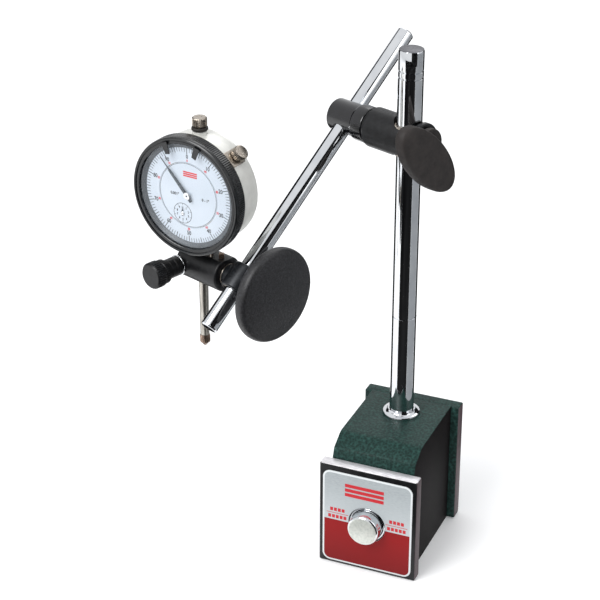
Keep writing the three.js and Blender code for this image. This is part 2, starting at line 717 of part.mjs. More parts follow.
// A flat bar that reaches past two pillars to the case's wall.
function bridgeBar(from, to, half, y0, y1) {
  const along = new THREE.Vector2(to[0] - from[0], to[2] - from[2]);
  const bar = block(-4, along.length() + 4, y0, y1, -half, half)
    .rotateY(-along.angle())
    .translate(from[0], 0, from[2]);
  return meet(bar, rodY(BRIDGE_REACH, y0 - 1, y1 + 1, ROUND));
}

const pillarHoles = (places, y0, y1) =>
  places.map((place) => rodY(PILLAR_RADIUS + RUN, y0, y1, 12).translate(...place));

const innerBridge = () =>
  cut(
    join(
      rodY(12, -5.3, -4.6, MID_ROUND),
      bridgeBar(pillarPlaces[0], pillarPlaces[1], 5, -5.3, -4.6),
      bridgeBar(pillarPlaces[0], pillarPlaces[2], 5, -5.3, -4.6),
    ),
    rodY(1.5, -6, -4, 12),
    atRackPinion(rodY(0.7, -6, -4, 12)),
    ...pillarHoles(pillarPlaces, -6, -4),
  );

const rearBridge = () =>
  cut(
    bridgeBar(pillarPlaces[0], pillarPlaces[1], 6, 2.9, 3.5),
    atRackPinion(rodY(0.7, 2, 4, 12)),
    ...pillarHoles(pillarPlaces.slice(0, 2), 2, 4),
  );

// ---- Bezel clamp ---------------------------------------------------------------------------------

// A bent plate on the case's edge that the screw presses on the bezel's back.
const bezelBracket = () =>
  radial(
    cut(
      block(-4, 4, -6.2, 3, CASE.radius + 0.3, CASE.radius + 1.2),
      rodZ(1.2 + RUN, CASE.radius - 1, CASE.radius + 3, 12),
    ),
  );

const bezelScrew = () =>
  radial(
    turnedZ([
      [0, CASE.inner + 0.2], [1.2, CASE.inner + 0.2], [1.2, CASE.radius + 1.5], [3.2, CASE.radius + 1.5],
      [3.5, CASE.radius + 1.9], [3.5, CASE.radius + 5.2], [3.1, CASE.radius + 5.7], [0, CASE.radius + 5.7],
    ], MID_ROUND),
  );

// ---- Assembly ------------------------------------------------------------------------------------

function indicator() {
  const group = new THREE.Group();
  group.add(
    mesh("indicator_case", indicatorCase(), steel),
    mesh("back_cover", backCover(), steel),
    mesh("stem", stem(), steel),
    mesh("top_bush", topBush(), steel),
    mesh("main_plate", mainPlate(), brass),
    mesh("inner_bridge", innerBridge(), brass),
    mesh("rear_bridge", rearBridge(), brass),
    mesh("bezel_bracket", bezelBracket(), steel),
    mesh("bezel_clamp_screw", bezelScrew(), steel),
    mesh("bezel", bezel(), blackBezel),
    mesh("crystal", crystal(), crystalClear),
    mesh("dial_ring", dialRing(), dialWhite),
    mesh("dial_centre", dialCentre(), dialWhite),
    mesh("tolerance_hand_left", toleranceHand(-22), blackPaint),
    mesh("tolerance_hand_right", toleranceHand(17), blackPaint),
    mesh("main_hand", mainHand(), blackPaint),
    mesh("centre_pinion", centrePinion(), steel),
    mesh("small_hand", smallHand(), blackPaint),
    mesh("counter_gear", counterGear(), brass),
    mesh("hairspring", hairspring(), steel),
    mesh("rack_pinion", rackPinion(), steel),
    mesh("rack_gear", rackGear(), brass),
    mesh("spindle", spindle(), steel),
    mesh("contact_point", contactPoint(), steel),
    mesh("spindle_cap", spindleCap(), steel),
    mesh("cap_ring", capRing(), rubber),
    mesh("guide_pin", guidePin(), steel),
    mesh("return_spring", returnSpring(), steel),
  );
  for (const [number, angle] of [45, 135, 225, 315].entries())
    group.add(mesh(`cover_screw_${number + 1}`, coverScrew(angle), steel));
  group.position.set(-STEM_OFFSET, 0, DIAL_ABOVE_CLAMP);
  group.rotation.z = degrees(INDICATOR_TURN);
  return group;
}

function armAssembly() {
  const arm = new THREE.Group();
  const sleeve = new THREE.Group();
  sleeve.add(mesh("sleeve_liner", sleeveLiner(), steel), mesh("arm_sleeve", armSleeve(), blackPaint));
  sleeve.position.z = -SLEEVE_DISTANCE;
  arm.add(mesh("arm_rod", armRod(), chrome), sleeve);
  arm.position.x = -ARM_OFFSET;
  arm.rotation.x = armTilt;
  return arm;
}

function stemClamp() {
  const head = new THREE.Group();
  head.add(
    mesh("sleeve_washer", sleeveWasher(), steel),
    mesh("disc_knob", discKnob(), blackPlastic),
    mesh("disc_knob_stud", discKnobStud(), steel),
    mesh("stem_head", stemHead(), blackPaint),
    mesh("head_pin", headPin(), steel),
    mesh("head_screw", headScrew(), steel),
    mesh("stem_screw", stemScrew(), blackPaint),
    mesh("stem_screw_washer", stemScrewWasher(), chrome),
    indicator(),
  );
  const dip = degrees(ARM_DIP);
  head.position.set(-ARM_OFFSET, -SLEEVE_DISTANCE * Math.cos(dip), -SLEEVE_DISTANCE * Math.sin(dip));
  return head;
}

function swivelClamp() {
  const clamp = new THREE.Group();
  clamp.add(
    mesh("post_bush", postBush(), steel),
    mesh("post_barrel", postBarrel(), blackPaint),
    mesh("thrust_pin", thrustPin(), steel),
    mesh("friction_washer", frictionWasher(), steel),
    mesh("arm_barrel", armBarrel(), blackPaint),
    mesh("wing_knob", wingKnob(), brownPlastic),
    armAssembly(),
    stemClamp(),
  );
  clamp.position.set(0, POST.y, CLAMP_HEIGHT);
  clamp.rotation.z = degrees(CLAMP_TURN);
  return clamp;
}

const root = new THREE.Group();
root.add(magneticBase(), swivelClamp());

export default root;
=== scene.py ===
# A dial indicator on a magnetic base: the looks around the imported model, at a studio table.
# Profiles, outlines and holes are in millimetres. Meshes and matrices are in metres.
import json
import math

import bmesh
import bpy
from mathutils import Matrix, Vector


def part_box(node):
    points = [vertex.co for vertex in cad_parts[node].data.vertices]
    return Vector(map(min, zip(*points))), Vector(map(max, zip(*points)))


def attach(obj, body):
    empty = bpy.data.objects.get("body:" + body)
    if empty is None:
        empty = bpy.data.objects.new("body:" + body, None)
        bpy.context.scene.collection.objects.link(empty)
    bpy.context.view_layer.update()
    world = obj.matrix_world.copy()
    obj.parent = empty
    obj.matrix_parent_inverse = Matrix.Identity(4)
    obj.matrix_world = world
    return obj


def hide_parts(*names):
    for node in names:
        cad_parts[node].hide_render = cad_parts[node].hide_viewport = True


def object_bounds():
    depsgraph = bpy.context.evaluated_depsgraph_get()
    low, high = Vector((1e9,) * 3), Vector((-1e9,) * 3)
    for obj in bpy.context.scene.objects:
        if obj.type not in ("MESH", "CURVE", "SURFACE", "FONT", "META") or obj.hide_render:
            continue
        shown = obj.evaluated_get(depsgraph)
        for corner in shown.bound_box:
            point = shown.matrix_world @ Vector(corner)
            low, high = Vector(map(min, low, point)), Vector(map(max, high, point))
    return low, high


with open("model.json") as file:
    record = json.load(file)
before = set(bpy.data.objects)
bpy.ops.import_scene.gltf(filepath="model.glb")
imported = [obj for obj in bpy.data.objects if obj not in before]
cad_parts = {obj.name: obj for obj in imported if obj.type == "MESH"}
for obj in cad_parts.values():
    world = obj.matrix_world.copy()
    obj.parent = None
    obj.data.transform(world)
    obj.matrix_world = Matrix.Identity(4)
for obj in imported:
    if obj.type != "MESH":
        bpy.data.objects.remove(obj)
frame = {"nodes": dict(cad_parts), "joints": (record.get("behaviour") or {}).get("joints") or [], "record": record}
cad_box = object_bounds()

MM = 0.001

# ---- Camera ---------------------------------------------------------------------------------------

CAMERA_AZIMUTH = math.radians(23)
CAMERA_ELEVATION = math.radians(27)
CAMERA_DISTANCE = 900 * MM
CAMERA_LENS = 112
AIM_SHIFT = Vector((-3, 0, -2)) * MM  # from the box's centre, so that the outline sits centred


def add_camera():
    data = bpy.data.cameras.new("camera")
    data.lens = CAMERA_LENS
    camera = bpy.data.objects.new("camera", data)
    bpy.context.scene.collection.objects.link(camera)
    across = math.cos(CAMERA_ELEVATION)
    back = Vector((
        math.sin(CAMERA_AZIMUTH) * across,
        -math.cos(CAMERA_AZIMUTH) * across,
        math.sin(CAMERA_ELEVATION),
    ))
    aim = (cad_box[0] + cad_box[1]) / 2 + AIM_SHIFT
    camera.location = aim + back * CAMERA_DISTANCE
    camera.rotation_mode = "QUATERNION"
    camera.rotation_quaternion = (-back).to_track_quat("-Z", "Y")
    bpy.context.scene.camera = camera


add_camera()

# ---- Places: each group's own axes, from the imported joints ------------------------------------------

JOINTS = {joint["name"]: joint for joint in frame["joints"]}
UP = Vector((0, 0, 1))


def joint_axis(name):
    return Vector(JOINTS[name]["axis"]).normalized()


def joint_place(name):
    return Vector(JOINTS[name]["pos_m"])


def place(origin, x_axis, z_axis):
    y_axis = z_axis.cross(x_axis)
    rotation = Matrix((x_axis, y_axis, z_axis)).transposed().to_4x4()
    return Matrix.Translation(origin) @ rotation


across_axis = joint_axis("arm_swing")  # along the swivel clamp and the stem clamp
back_axis = joint_axis("bezel_turn")  # from the dial's face to its back

POST = Matrix.Translation((joint_place("clamp_swivel").x, joint_place("clamp_swivel").y, 0))
CLAMP = place(joint_place("clamp_swivel"), across_axis, UP)
ARM = place(joint_place("arm_swing"), across_axis, -joint_axis("arm_reach"))
SLEEVE = place(joint_place("sleeve_turn"), across_axis, -joint_axis("arm_reach"))
HEAD = place(joint_place("head_swivel"), across_axis, UP)
STEM_SCREW = place(joint_place("stem_screw_turn"), across_axis, UP)
DIAL = place(joint_place("bezel_turn"), back_axis.cross(UP), UP)

ALONG_X = Matrix.Rotation(math.pi / 2, 4, "Y")  # a turned piece's axis laid along +X
ALONG_Y = Matrix.Rotation(-math.pi / 2, 4, "X")
FLAT_ON_FACE = Matrix.Rotation(math.pi / 2, 4, "X")  # a drawing laid upright, facing -Y
BEZEL_SCREW = DIAL @ Matrix.Rotation(math.radians(45), 4, "Y")

# ---- Node materials --------------------------------------------------------------------------------

# The colour sockets of a Mix node, which share their names with its other kinds.
MIX_FACTOR, MIX_FIRST, MIX_SECOND, MIX_RESULT = 0, 6, 7, 2


def shade(hex_color):
    """A linear RGBA colour from a six digit sRGB one."""
    channels = [int(hex_color[i:i + 2], 16) / 255 for i in (0, 2, 4)]
    linear = [c / 12.92 if c <= 0.04045 else ((c + 0.055) / 1.055) ** 2.4 for c in channels]
    return (*linear, 1.0)


class Finish:
    """A Principled material that its maker adds texture nodes to."""

    def __init__(self, name, color, roughness, metallic=0.0, **sockets):
        self.material = bpy.data.materials.new(name)
        self.material.use_nodes = True
        self.tree = self.material.node_tree
        self.surface = next(n for n in self.tree.nodes if n.type == "BSDF_PRINCIPLED")
        self.surface.inputs["Base Color"].default_value = shade(color)
        self.surface.inputs["Roughness"].default_value = roughness
        self.surface.inputs["Metallic"].default_value = metallic
        for socket, value in sockets.items():
            self.surface.inputs[socket.replace("_", " ")].default_value = value
        self.color = shade(color)
        self.roughness = roughness
        self.relief = None  # the last bump's normal, which the next bump builds on

    def node(self, kind, **settings):
        made = self.tree.nodes.new(kind)
        for key, value in settings.items():
            setattr(made, key, value)
        return made

    def link(self, source, target):
        self.tree.links.new(source, target)

    def coordinates(self, stretch=(1, 1, 1)):
        mapping = self.node("ShaderNodeMapping")
        mapping.inputs["Scale"].default_value = stretch
        self.link(self.node("ShaderNodeTexCoord").outputs["Object"], mapping.inputs["Vector"])
        return mapping.outputs["Vector"]

    def noise(self, size_mm, detail, stretch=(1, 1, 1)):
        texture = self.node("ShaderNodeTexNoise")
        texture.inputs["Scale"].default_value = 1 / (size_mm * MM)
        texture.inputs["Detail"].default_value = detail
        self.link(self.coordinates(stretch), texture.inputs["Vector"])
        return texture.outputs["Fac"]

    def cells(self, size_mm):
        texture = self.node("ShaderNodeTexVoronoi", feature="SMOOTH_F1")
        texture.inputs["Scale"].default_value = 1 / (size_mm * MM)
        self.link(self.coordinates(), texture.inputs["Vector"])
        return texture.outputs["Distance"]

    def band(self, source, low, high, to_low=0.0, to_high=1.0):
        """Maps low..high of a source to to_low..to_high, and clips it there."""
        scale = self.node("ShaderNodeMapRange")
        scale.inputs["From Min"].default_value = low
        scale.inputs["From Max"].default_value = high
        scale.inputs["To Min"].default_value = to_low
        scale.inputs["To Max"].default_value = to_high
        self.link(source, scale.inputs["Value"])
        return scale.outputs["Result"]

    def tint(self, source, other_color):
        """Mixes towards another colour where source is 1."""
        mix = self.node("ShaderNodeMix", data_type="RGBA")
        base = self.surface.inputs["Base Color"]
        mix.inputs[MIX_FIRST].default_value = self.color
        if base.is_linked:
            self.link(base.links[0].from_socket, mix.inputs[MIX_FIRST])
        mix.inputs[MIX_SECOND].default_value = shade(other_color)
        self.link(source, mix.inputs[MIX_FACTOR])
        self.link(mix.outputs[MIX_RESULT], base)

    def vary_roughness(self, source, spread):
        low, high = self.roughness - spread, self.roughness + spread
        self.link(self.band(source, 0.3, 0.7, low, high), self.surface.inputs["Roughness"])

    def bump(self, source, depth_mm, strength):
        bump = self.node("ShaderNodeBump")
        bump.inputs["Strength"].default_value = strength
        bump.inputs["Distance"].default_value = depth_mm * MM
        self.link(source, bump.inputs["Height"])
        if self.relief:
            self.link(self.relief, bump.inputs["Normal"])
        self.relief = bump.outputs["Normal"]
        self.link(self.relief, self.surface.inputs["Normal"])


def clouded(name, color, roughness, metallic, other, cloud, gloss=None, grain=None,
            stretch=(1, 1, 1), **sockets):
    """A finish that drifts to another colour in clouds: (size in mm, detail, low, high). Its gloss
    may drift too: (size, detail, spread). It may have a grain: (size, detail, depth, strength)."""
    finish = Finish(name, color, roughness, metallic, **sockets)
    size, detail, low, high = cloud
    finish.tint(finish.band(finish.noise(size, detail, stretch), low, high), other)
    if gloss:
        size, detail, spread = gloss
        finish.vary_roughness(finish.noise(size, detail), spread)
    if grain:
        size, detail, depth, strength = grain
        finish.bump(finish.noise(size, detail), depth, strength)
    return finish.material


def ink(name, color, worn):
    return clouded(name, color, 0.5, 0.0, worn, (0.7, 4, 0.5, 0.85))


def streaked_steel(name, color, dark, stretch):
    """Steel with fine lines, close together where stretch is large."""
    finish = Finish(name, color, 0.3, 1.0)
    lines = finish.noise(1, 4, stretch)
    finish.tint(finish.band(lines, 0.35, 0.7), dark)
    finish.vary_roughness(lines, 0.07)
    finish.bump(lines, 0.012, 0.5)
    return finish.material


def hammered_finish():
    finish = Finish("hammered_enamel", "0b2622", 0.5, 0.0, Specular_IOR_Level=0.18, Coat_Weight=0.06,
                    Coat_Roughness=0.36)
    cells = finish.cells(1.1)
    finish.tint(finish.band(cells, 0.25, 0.8), "264842")
    finish.tint(finish.band(finish.noise(0.5, 3), 0.5, 0.75, 0, 0.8), "050f0e")
    finish.bump(cells, 0.12, 0.8)
    finish.bump(finish.noise(0.6, 2), 0.06, 0.7)
    return finish.material


def sleeve_finish():
    finish = Finish("satin_black", "1a1c1f", 0.32, 0.5)
    lines = finish.noise(0.8, 4)
    finish.tint(finish.band(lines, 0.35, 0.7), "26292d")
    finish.vary_roughness(lines, 0.05)
    return finish.material


def textured_plastic_finish():
    finish = Finish("textured_plastic", "0f0f11", 0.46)
    grain = finish.noise(0.7, 4)
    finish.tint(finish.band(grain, 0.42, 0.7), "26262a")
    finish.bump(grain, 0.14, 0.9)
    return finish.material


def label_finish(boundary):
    """Printed foil: silver-grey above the boundary height, deep red below it."""
    finish = Finish("label_print", "9da3a5", 0.5, 0.05, Specular_IOR_Level=0.25)
    finish.tint(finish.band(finish.noise(0.5, 4, (0.3, 1, 1.5)), 0.4, 0.8), "8d9396")
    height = finish.node("ShaderNodeSeparateXYZ")
    finish.link(finish.coordinates(), height.inputs["Vector"])
    above = height.outputs["Z"]
    finish.tint(finish.band(above, boundary + 22 * MM, boundary), "b0b6b8")
    finish.tint(finish.band(above, boundary, boundary - 0.05 * MM), "86090d")
    finish.tint(finish.band(above, boundary - 4 * MM, boundary - 26 * MM, 0, 0.7), "5e070a")
    return finish.material


def crystal_finish():
    """Clear where looked through, with a gloss that grows towards grazing angles."""
    material = bpy.data.materials.new("crystal")
    material.use_nodes = True
    tree = material.node_tree
    tree.nodes.clear()
    output = tree.nodes.new("ShaderNodeOutputMaterial")
    mix = tree.nodes.new("ShaderNodeMixShader")
    clear = tree.nodes.new("ShaderNodeBsdfTransparent")
    gloss = tree.nodes.new("ShaderNodeBsdfGlossy")
    gloss.inputs["Roughness"].default_value = 0.03
    weight = tree.nodes.new("ShaderNodeLayerWeight")
    steep = tree.nodes.new("ShaderNodeMath")
    steep.operation = "POWER"
    steep.inputs[1].default_value = 4
    share = tree.nodes.new("ShaderNodeMapRange")
    share.inputs["To Min"].default_value = 0.015
    share.inputs["To Max"].default_value = 0.7
    tree.links.new(weight.outputs["Facing"], steep.inputs[0])
    tree.links.new(steep.outputs["Value"], share.inputs["Value"])
    tree.links.new(share.outputs["Result"], mix.inputs["Fac"])
    tree.links.new(clear.outputs["BSDF"], mix.inputs[1])
    tree.links.new(gloss.outputs["BSDF"], mix.inputs[2])
    tree.links.new(mix.outputs["Shader"], output.inputs["Surface"])
    return material


LABEL_BOUNDARY = 25.6 * MM  # the height at which the label's red begins

chrome = clouded("chrome", "e4e6e8", 0.06, 1.0, "d3d6da", (9, 3, 0.35, 0.75), gloss=(2.5, 5, 0.025))
upright_steel = streaked_steel("steel_upright", "c9c5bd", "8d8980", (3, 3, 0.15))
plain_steel = streaked_steel("steel", "c8bfb4", "948b80", (1.5, 1.5, 1.5))
warm_steel = streaked_steel("steel_warm", "a99384", "6f5b4e", (2, 2, 1))
ground_steel = clouded("ground_steel", "eceaec", 0.42, 0.6, "bcb9be", (0.9, 5, 0.35, 0.75),
                       grain=(0.5, 4, 0.02, 0.5), stretch=(0.25, 1.6, 1))
button_face = clouded("button_face", "d6d9d2", 0.35, 0.5, "bfc4bd", (1.4, 5, 0.4, 0.75),
                      grain=(0.5, 3, 0.008, 0.5))
hammered = hammered_finish()
dark_side = clouded("oxide_side", "54464a", 0.55, 0.2, "3d3033", (1.1, 5, 0.35, 0.75),
                    grain=(0.4, 4, 0.03, 0.5), stretch=(1, 1, 0.3))
body_side = clouded("body_side", "0b0708", 0.65, 0.0, "140e10", (1.8, 5, 0.4, 0.75),
                    grain=(0.5, 4, 0.04, 0.6), Specular_IOR_Level=0.12)
cut_end = clouded("cut_end", "6c6c70", 0.42, 0.7, "505055", (0.8, 5, 0.35, 0.7),
                  gloss=(0.6, 4, 0.06), stretch=(0.2, 1, 1))
black_metal = clouded("black_oxide", "08080a", 0.4, 0.05, "161719", (2.2, 5, 0.4, 0.75),
                      gloss=(1.4, 4, 0.06), grain=(0.35, 3, 0.012, 0.5), Specular_IOR_Level=0.35)
gloss_black = clouded("gloss_black", "070709", 0.2, 0.1, "101014", (3, 4, 0.4, 0.8),
                      gloss=(1.2, 4, 0.05), Coat_Weight=0.4, Coat_Roughness=0.1)
satin_black = sleeve_finish()
textured_plastic = textured_plastic_finish()
wing_plastic = clouded("matte_brown_plastic", "231f1e", 0.62, 0.0, "2e2927", (5, 4, 0.35, 0.75),
                       gloss=(1.5, 4, 0.05), grain=(0.3, 3, 0.015, 0.5), Specular_IOR_Level=0.35)
bezel_black = clouded("bezel_black", "0a0c0e", 0.3, 0.1, "12161a", (4, 4, 0.4, 0.8),
                      gloss=(0.9, 4, 0.05), Coat_Weight=0.2, Coat_Roughness=0.15)
shroud_grey = clouded("grey_shroud", "5c6166", 0.42, 0.25, "474c51", (6, 3, 0.3, 0.8),
                      grain=(0.3, 2, 0.008, 0.5))
rubber = clouded("rubber", "15120f", 0.6, 0.0, "241f1b", (0.8, 3, 0.4, 0.8), grain=(0.25, 3, 0.02, 0.6))
case_satin = clouded("satin_nickel", "dcdcd7", 0.42, 0.45, "d0d0cb", (4, 5, 0.4, 0.8),
                     gloss=(0.7, 4, 0.05), grain=(0.22, 3, 0.008, 0.5))
brass = clouded("brass", "b08a45", 0.28, 1.0, "8f6c30", (1.2, 5, 0.4, 0.8), gloss=(0.5, 4, 0.06))
magnet = clouded("magnet", "3a3b3e", 0.7, 0.3, "28292b", (0.8, 5, 0.4, 0.7), grain=(0.4, 4, 0.05, 0.7))
dial_face = clouded("dial_face", "bec7d1", 0.5, 0.0, "b3bdc8", (26, 2, 0.35, 0.75),
                    grain=(0.2, 2, 0.002, 0.4))
black_ink = ink("black_ink", "0e1113", "24292d")
red_ink = ink("red_ink", "c21c26", "cc4248")
label_print = label_finish(LABEL_BOUNDARY)
label_red = ink("label_red_ink", "b81422", "9c101a")
pale_foil = ink("pale_foil", "c9cdce", "b9bec0")
hand_grey = ink("hand_grey", "3d454c", "2b3237")
crystal_clear = crystal_finish()

SLOT_MATERIALS = {
    "chrome": chrome, "steel": plain_steel, "case_satin": case_satin, "brass": brass,
    "plate_bright": ground_steel, "hammered_paint": hammered, "black_metal": black_metal,
    "black_plastic": textured_plastic, "wing_plastic": wing_plastic, "bezel_black": bezel_black,
    "rubber": rubber, "label_print": label_print, "dial_print": dial_face, "clear": crystal_clear,
    "magnet": magnet,
}

# ---- Mesh tools ------------------------------------------------------------------------------------

SMOOTH_ANGLE = math.radians(32)
FLAT_ANGLE = math.radians(0.5)  # faces that lean less than this are one flat face
WELD = 0.001 * MM

NODE_BODY = {n: body for body, nodes in frame["record"]["behaviour"]["bodies"].items() for n in nodes}
NODE_SLOT = {part["node"]: part["material_slot"] for part in frame["record"]["subparts"]}


def finished(name, mesh, body, slot, *materials, stands_for=()):
    """Makes an object of a mesh that is already in place, ties it to its body and hides the CAD nodes that it
    stands for. The slot is not used.
    """
    mesh.shade_smooth()
    mesh.set_sharp_from_angle(angle=SMOOTH_ANGLE)
    mesh.materials.clear()
    for material in materials:
        mesh.materials.append(material)
    piece = bpy.data.objects.new(name, mesh)
    bpy.context.scene.collection.objects.link(piece)
    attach(piece, body)
    if stands_for:
        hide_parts(*stands_for)
    return piece


def mesh_from(bm, matrix=Matrix.Identity(4)):
    bmesh.ops.recalc_face_normals(bm, faces=bm.faces)
    mesh = bpy.data.meshes.new("mesh")
    bm.to_mesh(mesh)
    bm.free()
    mesh.transform(matrix)
    return mesh


def turned(profile, matrix, sides=96, closed=False):
    """A profile of (radius, height) in mm turned about Z. A third number is a flute's depth on
    every other side. A closed profile joins its last point to its first."""
    bm = bmesh.new()
    rings = []
    for radius, height, *flute in profile:
        depth = flute[0] if flute else 0
        if radius == 0:
            rings.append([bm.verts.new((0, 0, height * MM))])
            continue
        ring = []
        for side in range(sides):
            angle = 2 * math.pi * side / sides
            reach = (radius - depth * (side % 2)) * MM
            ring.append(bm.verts.new((reach * math.cos(angle), reach * math.sin(angle), height * MM)))
        rings.append(ring)
    pairs = list(zip(rings, rings[1:]))
    if closed:
        pairs.append((rings[-1], rings[0]))
    for low, high in pairs:
        for side in range(sides):
            after = (side + 1) % sides
            corners = [low[side % len(low)], low[after % len(low)],
                       high[after % len(high)], high[side % len(high)]]
            distinct = list(dict.fromkeys(corners))
            if len(distinct) > 2:
                bm.faces.new(distinct)
    return mesh_from(bm, matrix)


def rod(radius, low, high, matrix, sides=64):
    return turned([(0, low), (radius, low), (radius, high), (0, high)], matrix, sides)


def box_mesh(low, high, matrix):
    bm = bmesh.new()
    bmesh.ops.create_cube(bm, size=1)
    middle = [(a + b) / 2 * MM for a, b in zip(low, high)]
    size = [(b - a) * MM for a, b in zip(low, high)]
    bmesh.ops.transform(bm, verts=bm.verts, matrix=Matrix.Translation(middle) @ Matrix.Diagonal((*size, 1)))
    return mesh_from(bm, matrix)


def carved(mesh, *steps):
    """Applies boolean steps, each (operation, other mesh), and returns the new mesh."""
    target = bpy.data.objects.new("carving", mesh)
    bpy.context.scene.collection.objects.link(target)
    helpers = []
    for operation, other in steps:
        helper = bpy.data.objects.new("cutter", other)
        bpy.context.scene.collection.objects.link(helper)
        helpers.append(helper)
        modifier = target.modifiers.new("carve", "BOOLEAN")
        modifier.operation = operation
        modifier.solver = "EXACT"
        modifier.object = helper
    graph = bpy.context.evaluated_depsgraph_get()
    result = bpy.data.meshes.new_from_object(target.evaluated_get(graph))
    for unwanted in [target, *helpers]:
        bpy.data.objects.remove(unwanted)
    return result


def refined(node, edge_mm, material, extra=()):
    """A CAD node's shape with its sharp edges rounded and its round faces smooth."""
    bm = bmesh.new()
    bm.from_mesh(frame["nodes"][node].data)
    bmesh.ops.remove_doubles(bm, verts=bm.verts, dist=WELD)
    bmesh.ops.dissolve_limit(bm, angle_limit=FLAT_ANGLE, verts=bm.verts, edges=bm.edges)
    sharp = [e for e in bm.edges if len(e.link_faces) == 2 and e.calc_face_angle(0) > SMOOTH_ANGLE]
    if edge_mm and sharp:
        bmesh.ops.bevel(bm, geom=sharp, offset=edge_mm * MM, segments=2, profile=0.5,
                        affect="EDGES", clamp_overlap=True)
    return finished(node + "_finished", mesh_from(bm), NODE_BODY[node], NODE_SLOT[node],
                    material, *extra, stands_for=(node,))


PART_OF_SIDE = 2.01  # keeps two fillets on one side of a profile just apart


def rounded_ends(points, fillet, steps=4):
    """A profile with each inner corner replaced by an arc that starts fillet mm before it."""
    out = [points[0]]
    for before, corner, after in zip(points, points[1:], points[2:]):
        a, b, c = (Vector(p[:2]) for p in (before, corner, after))
        reach = min(fillet, (a - b).length / PART_OF_SIDE, (c - b).length / PART_OF_SIDE)
        start, end = b + (a - b).normalized() * reach, b + (c - b).normalized() * reach
        for step in range(steps + 1):
            t = step / steps
            mixed = start * (1 - t) ** 2 + b * 2 * t * (1 - t) + end * t ** 2
            out.append((mixed.x, mixed.y))
    out.append(points[-1])
    return out


# ---- Magnetic base ----------------------------------------------------------------------------------


def paint_faces(piece, choose):
    """Gives each face the material index that choose(normal, centre) returns."""
    for polygon in piece.data.polygons:
        polygon.material_index = choose(polygon.normal, polygon.center)


def pole_plates():
    edge, upward, sideways = 0.7, 0.9, 0.5
    front = refined("front_pole_plate", edge, black_metal, extra=(ground_steel, dark_side))
    paint_faces(front, lambda normal, centre:
                1 if normal.z > upward else 2 if abs(normal.x) > sideways else 0)
    rear = refined("rear_pole_plate", edge, hammered, extra=(dark_side,))
    paint_faces(rear, lambda normal, centre: 1 if abs(normal.x) > sideways else 0)


def base_shell():
    edge, sideways = 0.8, 0.7
    body = refined("base_body", edge, hammered, extra=(body_side,))
    paint_faces(body, lambda normal, centre: 1 if abs(normal.x) > sideways else 0)


def outline_mesh(loops, y_front, y_back):
    """A flat plate facing -Y from closed outlines of (x, z) in mm: the first is its edge, the
    others are holes."""
    bm = bmesh.new()
    edges = []
    for loop in loops:
        verts = [bm.verts.new((x * MM, y_front, z * MM)) for x, z in loop]
        edges += [bm.edges.new(pair) for pair in zip(verts, verts[1:] + verts[:1])]
    bmesh.ops.triangle_fill(bm, edges=edges, use_beauty=True)
    made = bmesh.ops.extrude_face_region(bm, geom=list(bm.faces))
    moved = [v for v in made["geom"] if isinstance(v, bmesh.types.BMVert)]
    bmesh.ops.translate(bm, verts=moved, vec=(0, y_back - y_front, 0))
    return bm


def circle(radius, x, z, steps=72):
    return [(x + radius * math.cos(2 * math.pi * i / steps), z + radius * math.sin(2 * math.pi * i / steps))
            for i in range(steps)]


def rounded_rectangle(x0, x1, z0, z1, corner, steps=8):
    centres = ((x1 - corner, z0 + corner, -90), (x1 - corner, z1 - corner, 0),
               (x0 + corner, z1 - corner, 90), (x0 + corner, z0 + corner, 180))
    points = []
    for x, z, start in centres:
        for step in range(steps + 1):
            angle = math.radians(start + 90 * step / steps)
            points.append((x + corner * math.cos(angle), z + corner * math.sin(angle)))
    return points


PRINT_THICKNESS = 0.03 * MM
LABEL_MARGIN = 0.9
LABEL_CORNER = 3.1
BUTTON_HOLE = 9.55
LABEL_MARK = {"x": -1.5, "above_button": 17.4, "width": 20, "height": 7}
LABEL_DASH = {"width": 1.5, "height": 1.9, "gap": 0.5}
# Dashes stand in two rows each side of the button, with a thin rule between them.
LABEL_ROWS = {"x": 15.3, "upper": 4.9, "upper_count": 4, "lower": 0.9, "lower_count": 5}
LABEL_RULE = {"half": 5.6, "low": 3.7, "high": 4.0}


def label():
    refined("label_plate", 0.12, pale_foil)
    low, high = (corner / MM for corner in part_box("label_plate"))
    button = (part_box("push_button")[0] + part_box("push_button")[1]) / 2 / MM
    edge = rounded_rectangle(low.x + LABEL_MARGIN, high.x - LABEL_MARGIN,
                             low.z + LABEL_MARGIN, high.z - LABEL_MARGIN, LABEL_CORNER)
    hole = circle(BUTTON_HOLE, button.x, button.z)
    face = low.y * MM
    panel = outline_mesh([edge, hole], face - PRINT_THICKNESS, face)
    finished("label_panel", mesh_from(panel), "base", "label_print", label_print)
    label_marks(face - PRINT_THICKNESS, button.z)


def plates(outlines, y_front, y_back, matrix=Matrix.Identity(4)):
    """Thin plates facing -Y, each from the (x, z) corners of its outline in mm."""
    bm = bmesh.new()
    for corners in outlines:
        front = [bm.verts.new((x * MM, y_front, z * MM)) for x, z in corners]
        back = [bm.verts.new((x * MM, y_back, z * MM)) for x, z in corners]
        bm.faces.new(front)
        bm.faces.new(back[::-1])
        for i in range(len(corners)):
            j = (i + 1) % len(corners)
            bm.faces.new((front[i], back[i], back[j], front[j]))
    return mesh_from(bm, matrix)


def bar_outlines(bars):
    """The corners of upright bars, each (x0, x1, z0, z1)."""
    return [[(x0, z0), (x1, z0), (x1, z1), (x0, z1)] for x0, x1, z0, z1 in bars]


MARK_BAR, MARK_PITCH = 0.26, 0.37  # a plain mark's bars, as parts of its height


def plain_mark(x, z, width, height):
    """A plain mark: three wide bars with thin gaps between them."""
    half, bar, pitch = width / 2, height * MARK_BAR, height * MARK_PITCH
    return [(x - half, x + half, z + step * pitch - bar / 2, z + step * pitch + bar / 2)
            for step in (-1, 0, 1)]


